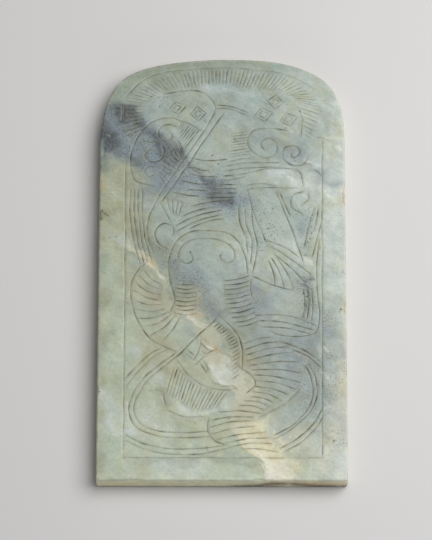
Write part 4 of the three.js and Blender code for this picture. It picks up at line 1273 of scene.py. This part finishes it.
# The tablet as an object, in metres, with what its material needs to know at each corner.
def make_tablet():
    corners, faces, dirt, stain, chipped = build_shape()
    mesh = bpy.data.meshes.new("jade_tablet")
    placed = (corners + [0, FOOT, 0]) * MM
    mesh.from_pydata(placed.tolist(), [], faces)
    points = corners[:, :2]
    colours, smoky, milky = stone_and_painted_light_colours(corners)
    vein, vein_share = vein_colours(points)
    rust = marks(points, RUST)
    tint(colours, OCHRE, rust)
    tint(vein, OCHRE, rust)
    add_colours(mesh, "stone_and_painted_light_colour", colours)
    add_colours(mesh, "vein_colour", vein)
    threads = marks(points + sway(points, *THREAD_SWAY), THREADS)
    numbers = {
        "vein": vein_share * (1 - below_face(corners)),
        "smoke": smoky,
        "milk": milky,
        "pepper": np.maximum(LEAST_PEPPER, marks(stirred(points), PEPPER)),
        "threads": threads * (corners[:, 2] > THICKNESS - THREAD_END),
        "calm": marks(points, CALM),
        "dirt": dirt,
        "stain": stain,
        "wear_and_rim_highlight": wear_and_rim_highlight(corners, chipped),
    }
    for name, values in numbers.items():
        add_numbers(mesh, name, values)
    mesh.shade_smooth()
    tablet = bpy.data.objects.new("jade_tablet", mesh)
    bpy.context.scene.collection.objects.link(tablet)
    return tablet


# A node with its settings, its plain input values and its links, each given by name.
def node(tree, kind, settings=None, values=None, links=None):
    made = tree.nodes.new(kind)
    for name, value in (settings or {}).items():
        setattr(made, name, value)
    for name, value in (values or {}).items():
        made.inputs[name].default_value = value
    for name, source in (links or {}).items():
        tree.links.new(source, made.inputs[name])
    return made


# A number or a colour that is carried by the mesh.
def carried(tree, name, output="Fac"):
    return node(tree, "ShaderNodeAttribute", {"attribute_name": name}).outputs[output]


# Cloudy noise with features of the given size in millimetres, spread round 0.5.
def noise(tree, place, size, detail=3, rough=0.55, distortion=0):
    values = {
        "Scale": 1 / (size * MM), "Detail": detail, "Roughness": rough, "Distortion": distortion,
    }
    return node(tree, "ShaderNodeTexNoise", None, values, {"Vector": place}).outputs["Fac"]


# The input stretched so that one range becomes another, held at its ends.
def ranged(tree, value, low, high, to_low, to_high, smoothly=False):
    made = node(
        tree, "ShaderNodeMapRange",
        {"interpolation_type": "SMOOTHSTEP" if smoothly else "LINEAR"},
        {"From Min": low, "From Max": high, "To Min": to_low, "To Max": to_high},
        {"Value": value},
    )
    return made.outputs["Result"]


def maths(tree, operation, first, second):
    made = node(tree, "ShaderNodeMath", {"operation": operation})
    for k, value in enumerate((first, second)):
        if isinstance(value, (int, float)):
            made.inputs[k].default_value = value
        else:
            tree.links.new(value, made.inputs[k])
    return made.outputs[0]


# Two colours mixed by a share. The second is either a plain colour or another node's output.
def mixed(tree, share, first, second, blend="MIX"):
    made = node(tree, "ShaderNodeMix", {"data_type": "RGBA", "blend_type": blend})
    share_socket, first_socket, second_socket = (made.inputs[k] for k in (0, 6, 7))
    if isinstance(share, (int, float)):
        share_socket.default_value = share
    else:
        tree.links.new(share, share_socket)
    tree.links.new(first, first_socket)
    if isinstance(second, tuple):
        second_socket.default_value = (*linear(second), 1)
    else:
        tree.links.new(second, second_socket)
    return made.outputs[2]


# Grey-green nephrite: clouded and speckled, with a cream vein, dirt in the lines, pale edges that are
# partly worn and partly painted highlight, and a waxy polish.
def jade():
    material = bpy.data.materials.new("jade")
    material.use_nodes = True
    tree = material.node_tree
    tree.nodes.clear()
    place = node(tree, "ShaderNodeTexCoord").outputs["Object"]
    streaked = node(
        tree, "ShaderNodeMapping", {"vector_type": "TEXTURE"},
        {"Rotation": (0, 0, math.radians(STREAK_ANGLE)), "Scale": (STREAK_LENGTH, 1, 1)},
        {"Vector": place},
    ).outputs["Vector"]
    smoke = carried(tree, "smoke")
    milk = carried(tree, "milk")
    dirt = carried(tree, "dirt")
    worn = carried(tree, "wear_and_rim_highlight")
    colour = carried(tree, "stone_and_painted_light_colour", "Color")

    # Broad warm and cool drifts, then mottling at two sizes, the larger one weaker where it is calm
    drift = noise(tree, place, 8, 3, 0.55, 0.6)
    warm = ranged(tree, drift, 0.5, 0.64, 0, 1)
    colour = mixed(tree, warm, colour, WARM_TINT, "MULTIPLY")
    cool = ranged(tree, drift, 0.36, 0.5, 1, 0)
    colour = mixed(tree, cool, colour, COOL_TINT, "MULTIPLY")
    grain = noise(tree, streaked, 3.4, 6, 0.62, 0.3)
    tone = ranged(tree, grain, 0.3, 0.7, 0.82, 1.19)
    lively = ranged(tree, carried(tree, "calm"), 0, 1, 1, 0.3)
    colour = mixed(tree, lively, colour, tone, "MULTIPLY")
    flecks = noise(tree, place, 0.9, 3, 0.6, 0.2)
    tone = ranged(tree, flecks, 0.3, 0.7, 0.93, 1.08)
    colour = mixed(tree, 1.0, colour, tone, "MULTIPLY")

    # Fine white threads and crystals in the milky clouds
    crystal = noise(tree, streaked, 1.3, 5, 0.7, 1.2)
    white = ranged(tree, crystal, 0.5, 0.6, 0, 1, True)
    white = maths(tree, "MULTIPLY", white, ranged(tree, milk, 0.1, 0.7, 0.06, 0.6))
    colour = mixed(tree, white, colour, MILK)

    # Dark wisps that gather into black clusters where the smoke is thickest, and specks among them
    wisps = noise(tree, streaked, 1.6, 5, 0.7, 0.7)
    gathered = maths(tree, "ADD", wisps, ranged(tree, smoke, 0, 1, -0.1, 0.2))
    dark = ranged(tree, gathered, 0.5, 0.68, 0, 0.8, True)
    colour = mixed(tree, dark, colour, SMOKE)
    specks = noise(tree, place, 0.7, 2, 0.6)
    gathered = maths(tree, "ADD", specks, ranged(tree, smoke, 0.3, 1, 0, 0.18))
    dark = ranged(tree, gathered, 0.58, 0.68, 0, 1, True)
    dark = maths(tree, "MULTIPLY", dark, ranged(tree, smoke, 0, 0.9, 0.04, 0.8))
    colour = mixed(tree, dark, colour, SOOT)
    grains = noise(tree, place, 0.5, 1, 0.5)
    dark = ranged(tree, grains, 0.6, 0.67, 0, 0.8, True)
    colour = mixed(tree, maths(tree, "MULTIPLY", dark, carried(tree, "pepper")), colour, SOOT)

    # The vein, with a crisp, slightly frayed edge and crystals inside
    fray = ranged(tree, noise(tree, place, 1.8, 5, 0.65, 0.8), 0.3, 0.7, -0.4, 0.4)
    inside = maths(tree, "ADD", carried(tree, "vein"), fray)
    vein_colour = mixed(
        tree, ranged(tree, crystal, 0.35, 0.6, 0.28, 0),
        carried(tree, "vein_colour", "Color"), OLIVE,
    )
    colour = mixed(tree, ranged(tree, inside, 0.1, 0.8, 0, 0.92, True), colour, vein_colour)

    # White threads, broken up by the same crystals
    fray = ranged(tree, crystal, 0.35, 0.6, 0.35, 1)
    threads = ranged(tree, maths(tree, "MULTIPLY", carried(tree, "threads"), fray), 0.15, 0.7, 0, 0.7)
    colour = mixed(tree, threads, colour, WHITE)

    # Dirt darkens the lines and leaves a faint olive tint beside them
    colour = mixed(tree, ranged(tree, carried(tree, "stain"), 0.2, 1, 0, 0.16), colour, DRAB)
    patchy = ranged(tree, noise(tree, place, 3, 3), 0.3, 0.7, 0.6, 1)
    held = maths(tree, "MULTIPLY", ranged(tree, dirt, 0.02, 1, 0, 1), patchy)
    colour = mixed(tree, held, colour, LINE_DIRT, "MULTIPLY")

    # Worn places are paler, and the pale rim is partly painted highlight along the arris; the polish
    # is duller on them and in the dirt
    rubbed = ranged(tree, noise(tree, place, 1.2, 4, 0.7), 0.35, 0.65, 0.15, 0.8)
    colour = mixed(tree, maths(tree, "MULTIPLY", worn, rubbed), colour, CREAM)
    colour = mixed(tree, 1.0, colour, UNDER_POLISH, "MULTIPLY")
    rough = ranged(tree, noise(tree, place, 2.5, 4, 0.6), 0.3, 0.7, 0.36, 0.5)
    rough = maths(tree, "ADD", rough, ranged(tree, dirt, 0, 1, 0, 0.35))
    rough = maths(tree, "ADD", rough, ranged(tree, worn, 0, 1, 0, 0.15))

    # Fine and broad bumps under the polish
    fine = node(
        tree, "ShaderNodeBump", None, {"Strength": 0.25, "Distance": 0.0001},
        {"Height": noise(tree, place, 0.4, 3, 0.6)},
    )
    broad = node(
        tree, "ShaderNodeBump", None, {"Strength": 0.3, "Distance": 0.0003},
        {"Height": noise(tree, place, 4, 2), "Normal": fine.outputs["Normal"]},
    )
    shader = node(
        tree, "ShaderNodeBsdfPrincipled", None,
        {
            "IOR": 1.6,
            "Subsurface Weight": 0.25,
            "Subsurface Radius": (1.0, 1.15, 0.9),
            "Subsurface Scale": 0.002,
        },
        {"Base Color": colour, "Roughness": rough, "Normal": broad.outputs["Normal"]},
    )
    node(tree, "ShaderNodeOutputMaterial", None, None, {"Surface": shader.outputs[0]})
    return material


def table_top():
    material = bpy.data.materials.new("table_top")
    material.use_nodes = True
    shader = material.node_tree.nodes["Principled BSDF"]
    shader.inputs["Base Color"].default_value = TABLE_COLOUR
    shader.inputs["Roughness"].default_value = 0.9
    shader.inputs["Specular IOR Level"].default_value = 0.15
    return material


# A plain pale table under the tablet.
def make_table():
    bpy.ops.mesh.primitive_plane_add(size=TABLE_SIZE, location=(0, 0, 0))
    table = bpy.context.object
    table.name = "table"
    table.data.materials.append(table_top())


# A square soft light at a place in metres, aimed at the tablet.
def soft_light(name, place, size, power):
    data = bpy.data.lights.new(name, "AREA")
    data.shape = "SQUARE"
    data.size = size
    data.energy = power
    data.color = LAMP_COLOUR
    light = bpy.data.objects.new(name, data)
    light.location = place
    light.rotation_euler = (-Vector(place)).to_track_quat("-Z", "Y").to_euler()
    bpy.context.scene.collection.objects.link(light)


# One large soft light high on the right, a low weak one in front, and even light from all round.
def make_lights():
    soft_light("key", KEY_PLACE, KEY_SIZE, KEY_POWER)
    soft_light("front", FRONT_PLACE, FRONT_SIZE, FRONT_POWER)
    world = bpy.data.worlds.new("room")
    world.use_nodes = True
    background = world.node_tree.nodes["Background"]
    background.inputs["Color"].default_value = ROOM_COLOUR
    background.inputs["Strength"].default_value = ROOM_LIGHT
    bpy.context.scene.world = world
    bpy.context.scene.view_settings.view_transform = "Standard"


# The camera looks down on the face, tilted towards the lower edge as in the photograph.
def make_camera():
    tilt = math.radians(CAMERA_TILT)
    away = Vector((0, -math.sin(tilt), math.cos(tilt)))
    aim = Vector((AIM[0], AIM[1] + FOOT, THICKNESS))
    data = bpy.data.cameras.new("camera")
    data.sensor_width = SENSOR
    data.lens = SENSOR * FOCAL_PIXELS / PICTURE_HEIGHT
    camera = bpy.data.objects.new("camera", data)
    camera.location = (aim + away * CAMERA_DISTANCE) * MM
    level = away.to_track_quat("Z", "Y")
    roll = Matrix.Rotation(math.radians(CAMERA_ROLL), 3, away)
    camera.rotation_euler = (roll @ level.to_matrix()).to_euler()
    bpy.context.scene.collection.objects.link(camera)
    bpy.context.scene.camera = camera


tablet = make_tablet()
tablet.data.materials.append(jade())
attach(tablet, "root")
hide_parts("tablet")
make_table()
make_lights()
make_camera()
